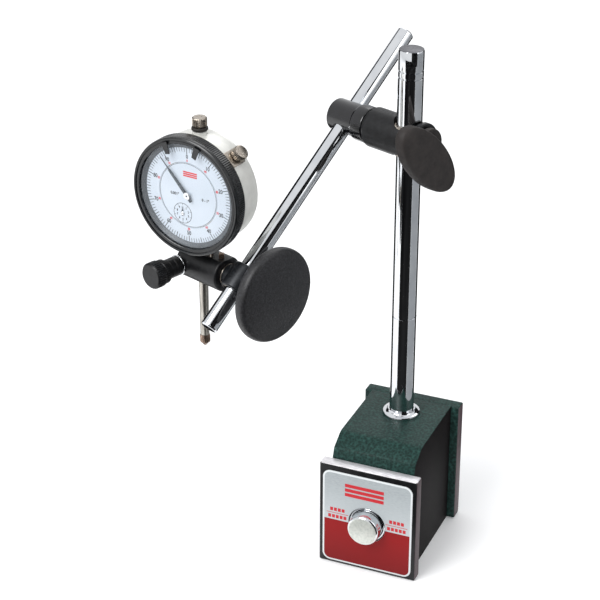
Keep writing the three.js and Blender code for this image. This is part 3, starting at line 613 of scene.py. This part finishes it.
def dash_row(x, z, count):
    """A row of dashes centred on x, standing on z."""
    width, pitch = LABEL_DASH["width"], LABEL_DASH["width"] + LABEL_DASH["gap"]
    start = x - (count * pitch - LABEL_DASH["gap"]) / 2
    return [(start + i * pitch, start + i * pitch + width, z, z + LABEL_DASH["height"])
            for i in range(count)]


def label_marks(face, button_z):
    """Plain red marks where the label's printing is."""
    bars = plain_mark(LABEL_MARK["x"], button_z + LABEL_MARK["above_button"],
                      LABEL_MARK["width"], LABEL_MARK["height"])
    red_top = LABEL_BOUNDARY / MM
    for side in (-1, 1):
        middle = side * LABEL_ROWS["x"]
        bars += dash_row(middle, red_top + LABEL_ROWS["upper"], LABEL_ROWS["upper_count"])
        bars += dash_row(middle, red_top + LABEL_ROWS["lower"], LABEL_ROWS["lower_count"])
        bars.append((middle - LABEL_RULE["half"], middle + LABEL_RULE["half"],
                     red_top + LABEL_RULE["low"], red_top + LABEL_RULE["high"]))
    marks = plates(bar_outlines(bars), face - PRINT_THICKNESS, face)
    finished("label_marks", marks, "base", "label_print", label_red)


def node_centre(node):
    low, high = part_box(node)
    return (low + high) / 2


def button_and_bushing():
    low, high = (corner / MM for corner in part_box("push_button"))
    place_y = Matrix.Translation(node_centre("push_button").xz.to_3d().xzy) @ ALONG_Y
    radius = (high.x - low.x) / 2
    profile = [(0, low.y), (radius - 1.6, low.y + 0.05), (radius - 0.9, low.y + 0.2),
               (radius - 0.35, low.y + 0.6), (radius, low.y + 1.4), (radius, high.y), (0, high.y)]
    button = finished("push_button_polished", turned(profile, place_y), "button", "chrome", chrome,
                      button_face, stands_for=("push_button",))
    facing_front = -0.9
    paint_faces(button, lambda normal, centre: 1 if normal.y < facing_front else 0)
    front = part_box("button_bushing")[0].y / MM
    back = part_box("button_bushing")[1].y / MM
    ring = rounded_ends([(8.3, back), (8.3, front + 1.1), (8.6, front + 0.9), (9.1, front + 0.9),
                         (9.4, front + 1.2), (9.4, back)], 0.15, 2)
    finished("button_bushing_polished", turned(ring, place_y, closed=True), "base", "chrome", chrome,
             stands_for=("button_bushing",))


POST_RADIUS = 6
POST_GROOVES = (119.5, 240.8, 244)  # their heights
GROOVE = {"half": 0.45, "floor_half": 0.2, "depth": 0.4}
CUT_END = 0.5  # the saw-cut end's height below the top, where the chrome stops


def post_and_collar():
    low, high = (corner.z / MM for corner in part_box("post"))
    profile = [(0, low), (POST_RADIUS, low)]
    for height in POST_GROOVES:
        floor_radius = POST_RADIUS - GROOVE["depth"]
        profile += [(POST_RADIUS, height - GROOVE["half"]), (floor_radius, height - GROOVE["floor_half"]),
                    (floor_radius, height + GROOVE["floor_half"]), (POST_RADIUS, height + GROOVE["half"])]
    profile += [(POST_RADIUS, high - 0.8), (5.75, high - 0.25), (5.2, high), (0, high)]
    post = finished("post_polished", turned(profile, POST), "base", "chrome", chrome, cut_end,
                    stands_for=("post",))
    paint_faces(post, lambda normal, centre: 1 if centre.z > (high - CUT_END) * MM else 0)
    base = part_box("post_collar")[0].z / MM
    flare = [(6.12, base), (9.2, base), (9.2, base + 0.7), (9.0, base + 1.1), (8.3, base + 1.35),
             (7.5, base + 1.6), (7.0, base + 2.1), (6.8, base + 2.8), (6.12, base + 2.8)]
    finished("post_collar_polished", turned(flare, POST, closed=True), "base", "chrome", chrome,
             stands_for=("post_collar",))


# ---- Swivel clamp -----------------------------------------------------------------------------------

ARM_OFFSET = 37.5
POST_HOLE = 7.25
WING_STUD_HOLE = 3.1
SPIGOT_SOCKET = 6.12
THRUST_PIN_HOLE = 3.22
ARM_HOLE = 4.38


def swivel_clamp():
    barrel = rounded_ends([(0, -30.8), (6, -30.8), (6, -21.6), (9.0, -21.6), (9.6, -20.9), (9.6, 8.9),
                           (9.1, 9.4), (0, 9.4)], 0.5)
    mesh = carved(
        turned(barrel, CLAMP @ ALONG_X),
        ("DIFFERENCE", rod(POST_HOLE, -12, 12, CLAMP)),
        ("DIFFERENCE", rod(WING_STUD_HOLE, 0, 12, CLAMP @ ALONG_X)),
        ("DIFFERENCE", rod(THRUST_PIN_HOLE, -ARM_OFFSET, 0, CLAMP @ ALONG_X)),
    )
    finished("post_barrel_finished", mesh, "post_clamp", "black_metal", black_metal,
             stands_for=("post_barrel",))
    refined("friction_washer", 0.1, black_metal)
    refined("post_bush", 0.1, plain_steel)
    barrel = rounded_ends([(0, -46.1), (5.6, -46.1), (7.9, -44.9), (8, -30), (8.8, -29.4),
                           (8.8, -23.2), (8.5, -22.7), (0, -22.7)], 0.8)
    mesh = carved(
        turned(barrel, CLAMP @ ALONG_X),
        ("DIFFERENCE", rod(SPIGOT_SOCKET, -31.4, -22, CLAMP @ ALONG_X)),
        ("DIFFERENCE", rod(ARM_HOLE, -12, 12, ARM)),
        ("DIFFERENCE", rod(THRUST_PIN_HOLE, -ARM_OFFSET, -30, CLAMP @ ALONG_X)),
    )
    finished("arm_barrel_finished", mesh, "arm_clamp", "black_metal", gloss_black,
             stands_for=("arm_barrel",))


WING = {"half": 25, "half_width": 10.5, "from": 11.3, "to": 19.3, "tilt": -46, "y": -6, "z": -4}
WING_ROUNDNESS = 0.42  # 1 makes the leaf an ellipsoid, and less makes its faces flatter


def wing_point(around, across):
    """A point of the leaf: around its outline, and across from one face to the other."""
    swell = abs(math.cos(across)) ** WING_ROUNDNESS
    side = math.copysign(abs(math.sin(across)) ** WING_ROUNDNESS, math.sin(across))
    x = (WING["from"] + WING["to"]) / 2 + side * (WING["to"] - WING["from"]) / 2
    return (x * MM, WING["half"] * swell * math.cos(around) * MM,
            WING["half_width"] * swell * math.sin(around) * MM)


def wing():
    bm = bmesh.new()
    around_steps, across_steps = 72, 20
    rows = []
    for row in range(1, across_steps):
        across = -math.pi / 2 + math.pi * row / across_steps
        rows.append([bm.verts.new(wing_point(2 * math.pi * i / around_steps, across))
                     for i in range(around_steps)])
    for low, high in zip(rows, rows[1:]):
        for i in range(around_steps):
            j = (i + 1) % around_steps
            bm.faces.new((low[i], low[j], high[j], high[i]))
    bm.faces.new(rows[0][::-1])
    bm.faces.new(rows[-1])
    turn = Matrix.Rotation(math.radians(WING["tilt"]), 4, "X")
    leaf = mesh_from(bm, CLAMP @ Matrix.Translation((0, WING["y"] * MM, WING["z"] * MM)) @ turn)
    stud = rounded_ends([(0, 7.5), (2.9, 7.5), (2.9, 9.7), (7.4, 9.7), (8, 10.3), (8, 13), (0, 13)], 0.4)
    mesh = carved(leaf, ("UNION", turned(stud, CLAMP @ ALONG_X, 64)))
    finished("wing_knob_moulded", mesh, "wing", "wing_plastic", wing_plastic, stands_for=("wing_knob",))


# ---- Arm, sleeve and stem clamp -----------------------------------------------------------------------

ARM_RADIUS = 4.25
ARM_END = {"radius": 3.6, "length": 0.7}  # the small cone at each end
LINER_HOLE = 5.32
STUD_HOLE = 2.2
NUT = {"from": 9.3, "to": 12.9, "half": 4.7, "hole": 4.5}


def arm():
    low, high = -121, 51.3
    profile = rounded_ends([(0, low), (ARM_END["radius"], low), (ARM_RADIUS, low + ARM_END["length"]),
                            (ARM_RADIUS, high - ARM_END["length"]), (ARM_END["radius"], high),
                            (0, high)], 0.3, 3)
    finished("arm_rod_polished", turned(profile, ARM), "arm", "chrome", chrome, stands_for=("arm_rod",))


def sleeve():
    tube = rounded_ends([(0, -6.5), (6.3, -6.5), (6.9, -5.9), (6.9, 5.9), (6.3, 6.5), (0, 6.5)], 0.4)
    neck = rounded_ends([(0, -17.8), (3.6, -17.8), (3.6, -7.3), (5.5, -7.3), (5.5, 6.6), (5.2, 7.4),
                         (4.6, 8.4), (4.6, 13.2), (0, 13.2)], 0.3)
    mesh = carved(
        turned(tube, SLEEVE),
        ("UNION", turned(neck, SLEEVE @ ALONG_X, 64)),
        ("DIFFERENCE", rod(LINER_HOLE, -8, 8, SLEEVE)),
        ("DIFFERENCE", rod(STUD_HOLE, 0, 14, SLEEVE @ ALONG_X)),
    )
    finished("arm_sleeve_finished", mesh, "sleeve", "black_metal", satin_black, stands_for=("arm_sleeve",))
    refined("sleeve_liner", 0.1, plain_steel)
    refined("sleeve_washer", 0.1, plain_steel)
    nut = box_mesh((NUT["from"], -NUT["half"], -NUT["half"]), (NUT["to"], NUT["half"], NUT["half"]), SLEEVE)
    nut_hole = rod(NUT["hole"], NUT["from"] - 1, NUT["to"] + 1, SLEEVE @ ALONG_X)
    finished("sleeve_nut", carved(nut, ("DIFFERENCE", nut_hole)), "sleeve", "steel", plain_steel)


def disc_knob():
    edge, top, rise, steps = 21.6, 27, 2.9, 14
    shares = [1 - step / steps for step in range(1, steps + 1)]
    crown = [(edge * share, top - rise * share ** 2) for share in shares]
    rim = rounded_ends([
        (2.2, 13.5), (6.1, 13.5), (6.5, 13.9), (6.5, 17.6), (8, 18.2), (20.4, 17.9), (22.1, 18.9),
        (22.5, 20.2), (22.5, 22.6), (edge, top - rise), crown[0]], 0.9, 5)
    closed = [(0, 21), (2.2, 21), *rim, *crown[1:]]
    finished("disc_knob_moulded", turned(closed, HEAD @ ALONG_X, 128), "disc", "black_plastic",
             textured_plastic, stands_for=("disc_knob",))


HEAD_FLAT = 7.5
STEM_OFFSET = 25
STEM_HOLE = 4.885
SLEEVE_NECK_HOLE = 3.72
HEAD_SLIT = 0.8  # half its width
STEM_SCREW_HOLE = 1.62
PEG_OFFSET = 12.4


def stem_head():
    barrel = rounded_ends([(0, -36), (7, -36), (8.5, -34.6), (8.5, -9), (7.9, -8.4), (0, -8.4)], 0.7)
    flats = box_mesh((-37, -9, -HEAD_FLAT), (-8, 9, HEAD_FLAT), HEAD)
    at_stem = HEAD @ Matrix.Translation((-STEM_OFFSET * MM, 0, 0))
    steps = [
        ("INTERSECT", flats),
        ("DIFFERENCE", rod(STEM_HOLE, -9, 9, at_stem)),
        ("DIFFERENCE", rod(SLEEVE_NECK_HOLE, -18.1, -8, HEAD @ ALONG_X)),
        ("DIFFERENCE", box_mesh((-37, -HEAD_SLIT, -9), (-STEM_OFFSET, HEAD_SLIT, 9), HEAD)),
        ("DIFFERENCE", rod(STEM_SCREW_HOLE, -10, 10, STEM_SCREW @ ALONG_Y, 32)),
    ]
    mesh = carved(turned(barrel, HEAD @ ALONG_X), *steps)
    finished("stem_head_finished", mesh, "head", "black_metal", black_metal, stands_for=("stem_head",))
    refined("head_pin", 0.15, plain_steel)
    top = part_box("head_screw")[1].z / MM - HEAD.translation.z / MM
    peg = rounded_ends([(0, 3.9), (1.75, 3.9), (1.75, top - 0.2), (1.5, top), (0, top)], 0.15, 2)
    place_peg = HEAD @ Matrix.Translation((-PEG_OFFSET * MM, 0, 0))
    finished("head_peg", turned(peg, place_peg, 4), "head", "steel", warm_steel, stands_for=("head_screw",))


def stem_screw():
    turned_from = [
        (0, -26.5), (5.6, -26.5), (5.9, -26.2), (6.4, -25.7, 0.35), (6.4, -21.6, 0.35), (6.1, -21.2),
        (5.5, -21.0), (5.5, -20.7), (5.9, -20.4, 0.25), (5.9, -18.3, 0.25), (5.6, -18.0), (4.4, -17.8),
        (4.4, -16.2), (4.7, -16.0), (4.7, -13.6), (4.4, -13.4), (4.4, -13.0), (4.7, -12.8),
        (4.7, -10.4), (4.5, -10.1), (1.5, -10.1), (1.5, 7), (0, 7)]
    finished("stem_screw_knurled", turned(turned_from, STEM_SCREW @ ALONG_Y, 72), "head_thumb_screw",
             "black_metal", black_metal, stands_for=("stem_screw",))
    washer = rounded_ends([(STEM_SCREW_HOLE, -9.7), (4.8, -9.7), (5, -9.5), (5, -9), (4.8, -8.8),
                           (STEM_SCREW_HOLE, -8.8)], 0.15, 2)
    finished("stem_screw_ring", turned(washer, STEM_SCREW @ ALONG_Y, 64, closed=True), "head_thumb_screw",
             "chrome", chrome, stands_for=("stem_screw_washer",))


# ---- Indicator --------------------------------------------------------------------------------------

BACK = DIAL @ ALONG_Y  # a turned piece whose height runs back from the dial's centre
DIAL_FACE = -10.6
DIAL_ROUND = 144  # sides of the large round pieces
INK = 0.03
FIGURE_WEIGHT = 0.06  # added all round a figure's strokes


def bezel():
    knurl = 0.22
    profile = [
        (25.5, -12.75), (25.55, -13.1), (25.8, -13.3), (26.9, -13.3), (27.0, -13.05), (27.25, -13.05),
        (27.35, -13.5), (27.6, -13.6), (28.15, -13.6), (28.6, -13.3), (28.8, -12.7), (28.75, -12.2),
        (28.35, -12.1), (28.35, -11.9), (28.8, -11.7, knurl), (28.8, -7.0, knurl), (28.5, -6.8),
        (28.4, -6.3), (26.75, -6.3), (26.75, -9.65), (25.5, -9.65)]
    finished("bezel_knurled", turned(profile, BACK, 360, closed=True), "bezel_ring", "bezel_black",
             bezel_black, stands_for=("bezel",))
    cone = [(25.4, -11.95), (25.4, -10.66), (23.2, -10.66), (23.2, -10.8), (25.0, -11.95)]
    shroud = turned(cone, BACK, DIAL_ROUND, closed=True)
    finished("dial_shroud", shroud, "bezel_ring", "bezel_black", shroud_grey)


def crystal():
    profile = rounded_ends([(0, -12.7), (25.1, -12.7), (25.4, -12.4), (25.4, -12.05), (0, -12.0)], 0.15, 2)
    finished("crystal_clear", turned(profile, BACK, DIAL_ROUND), "bezel_ring", "clear", crystal_clear,
             stands_for=("crystal",))


def tick_bars(count, outer, length_of, width_of):
    """The outlines of radial bars round the dial, clockwise from the top."""
    outlines = []
    for index in range(count):
        angle = 2 * math.pi * index / count
        out = Vector((math.sin(angle), math.cos(angle)))
        across = Vector((out.y, -out.x)) * width_of(index) / 2
        inner = outer - length_of(index)
        outlines.append([out * outer - across, out * outer + across,
                         out * inner + across, out * inner - across])
    return outlines


def printed(outlines, centre=(0, 0)):
    """Printing on the dial's face from flat outlines in mm, about a centre."""
    moved = [[(x + centre[0], z + centre[1]) for x, z in outline] for outline in outlines]
    return plates(moved, (DIAL_FACE - INK) * MM, DIAL_FACE * MM, DIAL)


def lettering(words, size, narrow=0.82):
    """One mesh of upright words on the dial's face, each (text, x, z) in mm."""
    bm = bmesh.new()
    for text, x, z in words:
        curve = bpy.data.curves.new("figures", "FONT")
        curve.body = text
        curve.size = size * MM
        curve.align_x = "CENTER"
        curve.align_y = "CENTER"
        curve.extrude = INK / 2 * MM
        curve.resolution_u = 3
        curve.offset = FIGURE_WEIGHT * MM
        holder = bpy.data.objects.new("figures", curve)
        bpy.context.scene.collection.objects.link(holder)
        graph = bpy.context.evaluated_depsgraph_get()
        flat = bpy.data.meshes.new_from_object(holder.evaluated_get(graph))
        flat.transform(Matrix.Translation((x * MM, (DIAL_FACE - INK / 2) * MM, z * MM))
                       @ FLAT_ON_FACE @ Matrix.Diagonal((narrow, 1, 1, 1)))
        bm.from_mesh(flat)
        bpy.data.objects.remove(holder)
    return mesh_from(bm, DIAL)


GRADUATIONS = 100
TICK_OUTER = 23.15
TICK_LENGTH = {"ten": 2.9, "five": 2.5, "one": 2.0}
TICK_WIDTH = {"five": 0.32, "one": 0.23}
BLACK_FIGURES = {"radius": 18.95, "size": 2.8}
RED_FIGURES = {"radius": 16.95, "size": 1.6}


def tick_length(index):
    return TICK_LENGTH["ten" if index % 10 == 0 else "five" if index % 5 == 0 else "one"]


def tick_width(index):
    return TICK_WIDTH["five" if index % 5 == 0 else "one"]


def figures(radius, values):
    """Words round the dial, clockwise from the top."""
    words = []
    for index, value in enumerate(values):
        angle = 2 * math.pi * index / len(values)
        words.append((str(value), radius * math.sin(angle), radius * math.cos(angle)))
    return words


def dial_ring():
    refined("dial_ring", 0, dial_face)
    ticks = tick_bars(GRADUATIONS, TICK_OUTER, tick_length, tick_width)
    finished("dial_graduations", printed(ticks), "bezel_ring", "dial_print", black_ink)
    clockwise = list(range(0, GRADUATIONS, 10))
    backward = [0, *clockwise[:0:-1]]
    words = figures(BLACK_FIGURES["radius"], clockwise)
    finished("dial_figures", lettering(words, BLACK_FIGURES["size"]), "bezel_ring", "dial_print", black_ink)
    words = figures(RED_FIGURES["radius"], backward)
    finished("dial_red_figures", lettering(words, RED_FIGURES["size"]), "bezel_ring", "dial_print", red_ink)


DIAL_CIRCLE = {"radius": 15.6, "width": 0.18}
SMALL_DIAL = (-3.2, -9.6)
SMALL_CIRCLE = {"radius": 5.05, "width": 0.22}
SMALL_TICK = {"count": 10, "inset": 0.1, "length": 0.9, "width": 0.16}
SMALL_FIGURES = {"radius": 3.2, "size": 1.5}
NOTES = {"size": 1.9, "narrow": 0.95, "words": [("0.001\"", -7.4, -0.6), ("0 - 1\"", 9.6, -0.6)]}
DIAL_MARK = {"x": 1.4, "z": 10.4, "width": 7.6, "height": 2.6}


def ring_outlines(radius, width, steps=96):
    """A thin circle as a chain of short outlines."""
    points = [Vector((math.sin(2 * math.pi * i / steps), math.cos(2 * math.pi * i / steps)))
              for i in range(steps)]
    return [[points[i] * (radius - width), points[i] * radius,
             points[(i + 1) % steps] * radius, points[(i + 1) % steps] * (radius - width)]
            for i in range(steps)]


def small_dial():
    circle_outlines = ring_outlines(SMALL_CIRCLE["radius"], SMALL_CIRCLE["width"])
    finished("small_dial_circle", printed(circle_outlines, SMALL_DIAL), "indicator",
             "dial_print", black_ink)
    ticks = tick_bars(SMALL_TICK["count"], SMALL_CIRCLE["radius"] - SMALL_TICK["inset"],
                      lambda index: SMALL_TICK["length"], lambda index: SMALL_TICK["width"])
    finished("small_dial_graduations", printed(ticks, SMALL_DIAL), "indicator", "dial_print", black_ink)
    turn = 2 * math.pi / SMALL_TICK["count"]
    words = [(str(digit), SMALL_DIAL[0] + SMALL_FIGURES["radius"] * math.sin(turn * digit),
              SMALL_DIAL[1] + SMALL_FIGURES["radius"] * math.cos(turn * digit))
             for digit in range(1, SMALL_TICK["count"])]
    finished("small_dial_figures", lettering(words, SMALL_FIGURES["size"]), "indicator",
             "dial_print", black_ink)


def dial_centre():
    refined("dial_centre", 0, dial_face)
    circle_outlines = ring_outlines(DIAL_CIRCLE["radius"], DIAL_CIRCLE["width"])
    finished("dial_circle", printed(circle_outlines), "indicator", "dial_print", black_ink)
    small_dial()
    notes = lettering(NOTES["words"], NOTES["size"], NOTES["narrow"])
    finished("dial_notes", notes, "indicator", "dial_print", black_ink)
    bars = plain_mark(DIAL_MARK["x"], DIAL_MARK["z"], DIAL_MARK["width"], DIAL_MARK["height"])
    finished("dial_mark", printed(bar_outlines(bars)), "indicator", "dial_print", red_ink)


HAND_ANGLE = 41.4  # left of twelve o'clock at rest
HAND = {"front": -11.66, "back": -11.42}
PIVOT_SHARE = 0.28  # of a hub's radius


def hub(name, radius, front, back, centre, body):
    """A turned silver hub with a dark centre on a hand."""
    place_hub = DIAL @ Matrix.Translation((centre[0] * MM, 0, centre[1] * MM)) @ ALONG_Y
    profile = [(0, front), (radius * 0.8, front), (radius, front + 0.12), (radius, back), (0, back)]
    finished(name, turned(profile, place_hub, 48), body, "steel", chrome)
    dot = rod(radius * PIVOT_SHARE, front - 0.03, front + 0.02, place_hub, 24)
    finished(name + "_pivot", dot, body, "steel", hand_grey)


def hands():
    turn = DIAL @ Matrix.Rotation(-math.radians(HAND_ANGLE), 4, "Y")
    outline = [(0.16, 21.5), (0.2, 15.2), (0.62, 14.2), (0.85, 0), (0.85, -3.4), (-0.85, -3.4),
               (-0.85, 0), (-0.62, 14.2), (-0.2, 15.2), (-0.16, 21.5)]
    pointer = outline_mesh([outline], HAND["front"] * MM, HAND["back"] * MM)
    finished("main_hand_pointer", mesh_from(pointer, turn), "centre_wheel", "black_metal", hand_grey,
             stands_for=("main_hand",))
    refined("small_hand", 0, hand_grey)
    hub("main_hand_hub", 1.75, -11.93, -11.35, (0, 0), "centre_wheel")
    hub("small_hand_hub", 0.95, -11.25, -10.8, SMALL_DIAL, "counter_wheel")
    refined("tolerance_hand_left", 0, bezel_black)
    refined("tolerance_hand_right", 0, bezel_black)


COVER_SCREWS = 4


def case():
    refined("indicator_case", 0.35, case_satin)
    refined("back_cover", 0.3, case_satin)
    refined("stem", 0.12, upright_steel)
    refined("top_bush", 0.15, case_satin)
    refined("bezel_bracket", 0.2, plain_steel)
    for number in range(1, COVER_SCREWS + 1):
        refined(f"cover_screw_{number}", 0.12, plain_steel)


def knurled_cap():
    low = 30.4
    profile = [
        (2.4, low + 1), (2.4, low), (3.0, low), (3.2, low + 0.25), (3.5, low + 0.5, 0.22),
        (3.5, low + 3.9, 0.22), (3.2, low + 4.2), (2.9, low + 4.4), (1.2, low + 4.4), (1.0, low + 4.25),
        (0, low + 4.25)]
    closed = [(0, low + 1), *profile]
    finished("spindle_cap_knurled", turned(closed, DIAL, 60), "plunger", "steel", plain_steel,
             stands_for=("spindle_cap",))
    ring = rounded_ends([(2.5, 28.5), (3.3, 28.4), (3.9, 28.8), (3.9, 29.8), (3.3, 30.2),
                         (2.5, 30.1)], 0.5)
    finished("cap_ring_soft", turned(ring, DIAL, 64, closed=True), "plunger", "rubber", rubber,
             stands_for=("cap_ring",))


def bezel_screw():
    base = 28.5
    profile = [(0, base - 3.3), (1.2, base - 3.3), (1.2, base), (3.1, base), (3.4, base + 0.3),
               (3.55, base + 0.6, 0.25), (3.55, base + 3.6, 0.25), (3.3, base + 3.9), (2.7, base + 4.15),
               (0, base + 4.2)]
    finished("bezel_clamp_screw_knurled", turned(profile, BEZEL_SCREW, 60), "bezel_clamp", "steel",
             plain_steel, stands_for=("bezel_clamp_screw",))


def spindle():
    refined("spindle", 0.05, upright_steel)
    top = -76.1
    profile = [(0, top - 6.1), (0.5, top - 6.0), (0.8, top - 5.7), (1.9, top - 4.2), (2.35, top - 4.0),
               (2.5, top - 3.8, 0.15), (2.5, top - 0.5, 0.15), (2.3, top - 0.1), (2.1, top), (0, top)]
    finished("contact_point_turned", turned(profile, DIAL, 48), "plunger", "steel", warm_steel,
             stands_for=("contact_point",))


def hidden_nodes():
    """The CAD nodes that still show, inside or from odd angles, get their slot's material."""
    for name, node in frame["nodes"].items():
        if node.hide_render:
            continue
        node.data.materials.clear()
        node.data.materials.append(SLOT_MATERIALS[NODE_SLOT[name]])


# ---- Studio -----------------------------------------------------------------------------------------

FLOOR_HALF = 6
FLOOR_DROP = 0.3 * MM
CARD_LIFT = 0.1 * MM
CARD_STEPS = 8
LAMP_AIM = Vector((0, 0, 0.1))
CARD_BLACK = "050506"
CARD_GREY = "8e9092"


def stage_material(name, color):
    finish = Finish(name, color, 0.9, Specular_IOR_Level=0.0)
    finish.tint(finish.band(finish.noise(300, 2), 0.3, 0.7, 0, 0.02), "e0e0e0")
    return finish.material


def floor():
    bm = bmesh.new()
    bmesh.ops.create_grid(bm, x_segments=1, y_segments=1, size=FLOOR_HALF)
    plane = bpy.data.objects.new("floor", mesh_from(bm))
    plane.data.materials.append(stage_material("floor", "fafafa"))
    plane.location.z = -FLOOR_DROP
    bpy.context.scene.collection.objects.link(plane)


def card(name, start, end, near, far, height, color):
    """A card that only reflections see: a wedge on the floor with an upright outer end. It spans
    start to end in degrees from -Y towards +X, and near to far in metres from the middle."""
    bm = bmesh.new()
    rows = []
    for step in range(CARD_STEPS + 1):
        angle = math.radians(start + (end - start) * step / CARD_STEPS)
        out = Vector((math.sin(angle), -math.cos(angle), 0))
        rows.append([bm.verts.new(out * near), bm.verts.new(out * far),
                     bm.verts.new(out * far + UP * height)])
    for first, second in zip(rows, rows[1:]):
        for i in range(2):
            bm.faces.new((first[i], first[i + 1], second[i + 1], second[i]))
    piece = bpy.data.objects.new(name, mesh_from(bm))
    piece.data.materials.append(stage_material(name, color))
    piece.location.z = CARD_LIFT
    piece.visible_camera = False
    piece.visible_diffuse = False
    piece.visible_shadow = False
    bpy.context.scene.collection.objects.link(piece)


def lamp(name, azimuth, elevation, distance, size, power):
    """A round lamp in a direction in degrees, at a distance in metres, facing the object."""
    data = bpy.data.lights.new(name, "AREA")
    data.shape = "DISK"
    data.size = size
    data.energy = power
    lamp_object = bpy.data.objects.new(name, data)
    a, e = math.radians(azimuth), math.radians(elevation)
    out = Vector((math.sin(a) * math.cos(e), -math.cos(a) * math.cos(e), math.sin(e)))
    lamp_object.location = out * distance + LAMP_AIM
    lamp_object.rotation_mode = "QUATERNION"
    lamp_object.rotation_quaternion = (-out).to_track_quat("-Z", "Y")
    bpy.context.scene.collection.objects.link(lamp_object)


def studio():
    world = bpy.data.worlds.new("studio")
    world.use_nodes = True
    background = world.node_tree.nodes["Background"]
    background.inputs["Color"].default_value = shade("f4f5f7")
    background.inputs["Strength"].default_value = 1.0
    bpy.context.scene.world = world
    bpy.context.scene.view_settings.view_transform = "Standard"
    floor()
    card("front_card", -31, 62, 0.076, 1.2, 0.15, CARD_BLACK)
    card("front_high_card", 22, 72, 1.1, 1.15, 1.6, CARD_BLACK)
    card("side_card", 63, 138, 0.12, 1.2, 0.3, CARD_GREY)
    card("right_card", 140, 178, 0.1, 1.2, 1.0, CARD_BLACK)
    card("left_card", 231, 265, 0.12, 1.2, 1.0, CARD_BLACK)
    lamp("key", -25, 44, 1.6, 0.9, 17)
    lamp("fill", 75, 35, 1.8, 1.2, 4)
    lamp("rim", 190, 45, 1.8, 1.0, 4)


pole_plates()
base_shell()
label()
button_and_bushing()
refined("rear_button", 0.4, plain_steel)
post_and_collar()
swivel_clamp()
wing()
arm()
sleeve()
disc_knob()
stem_head()
stem_screw()
case()
bezel()
crystal()
dial_ring()
dial_centre()
hands()
knurled_cap()
bezel_screw()
spindle()
hidden_nodes()
studio()
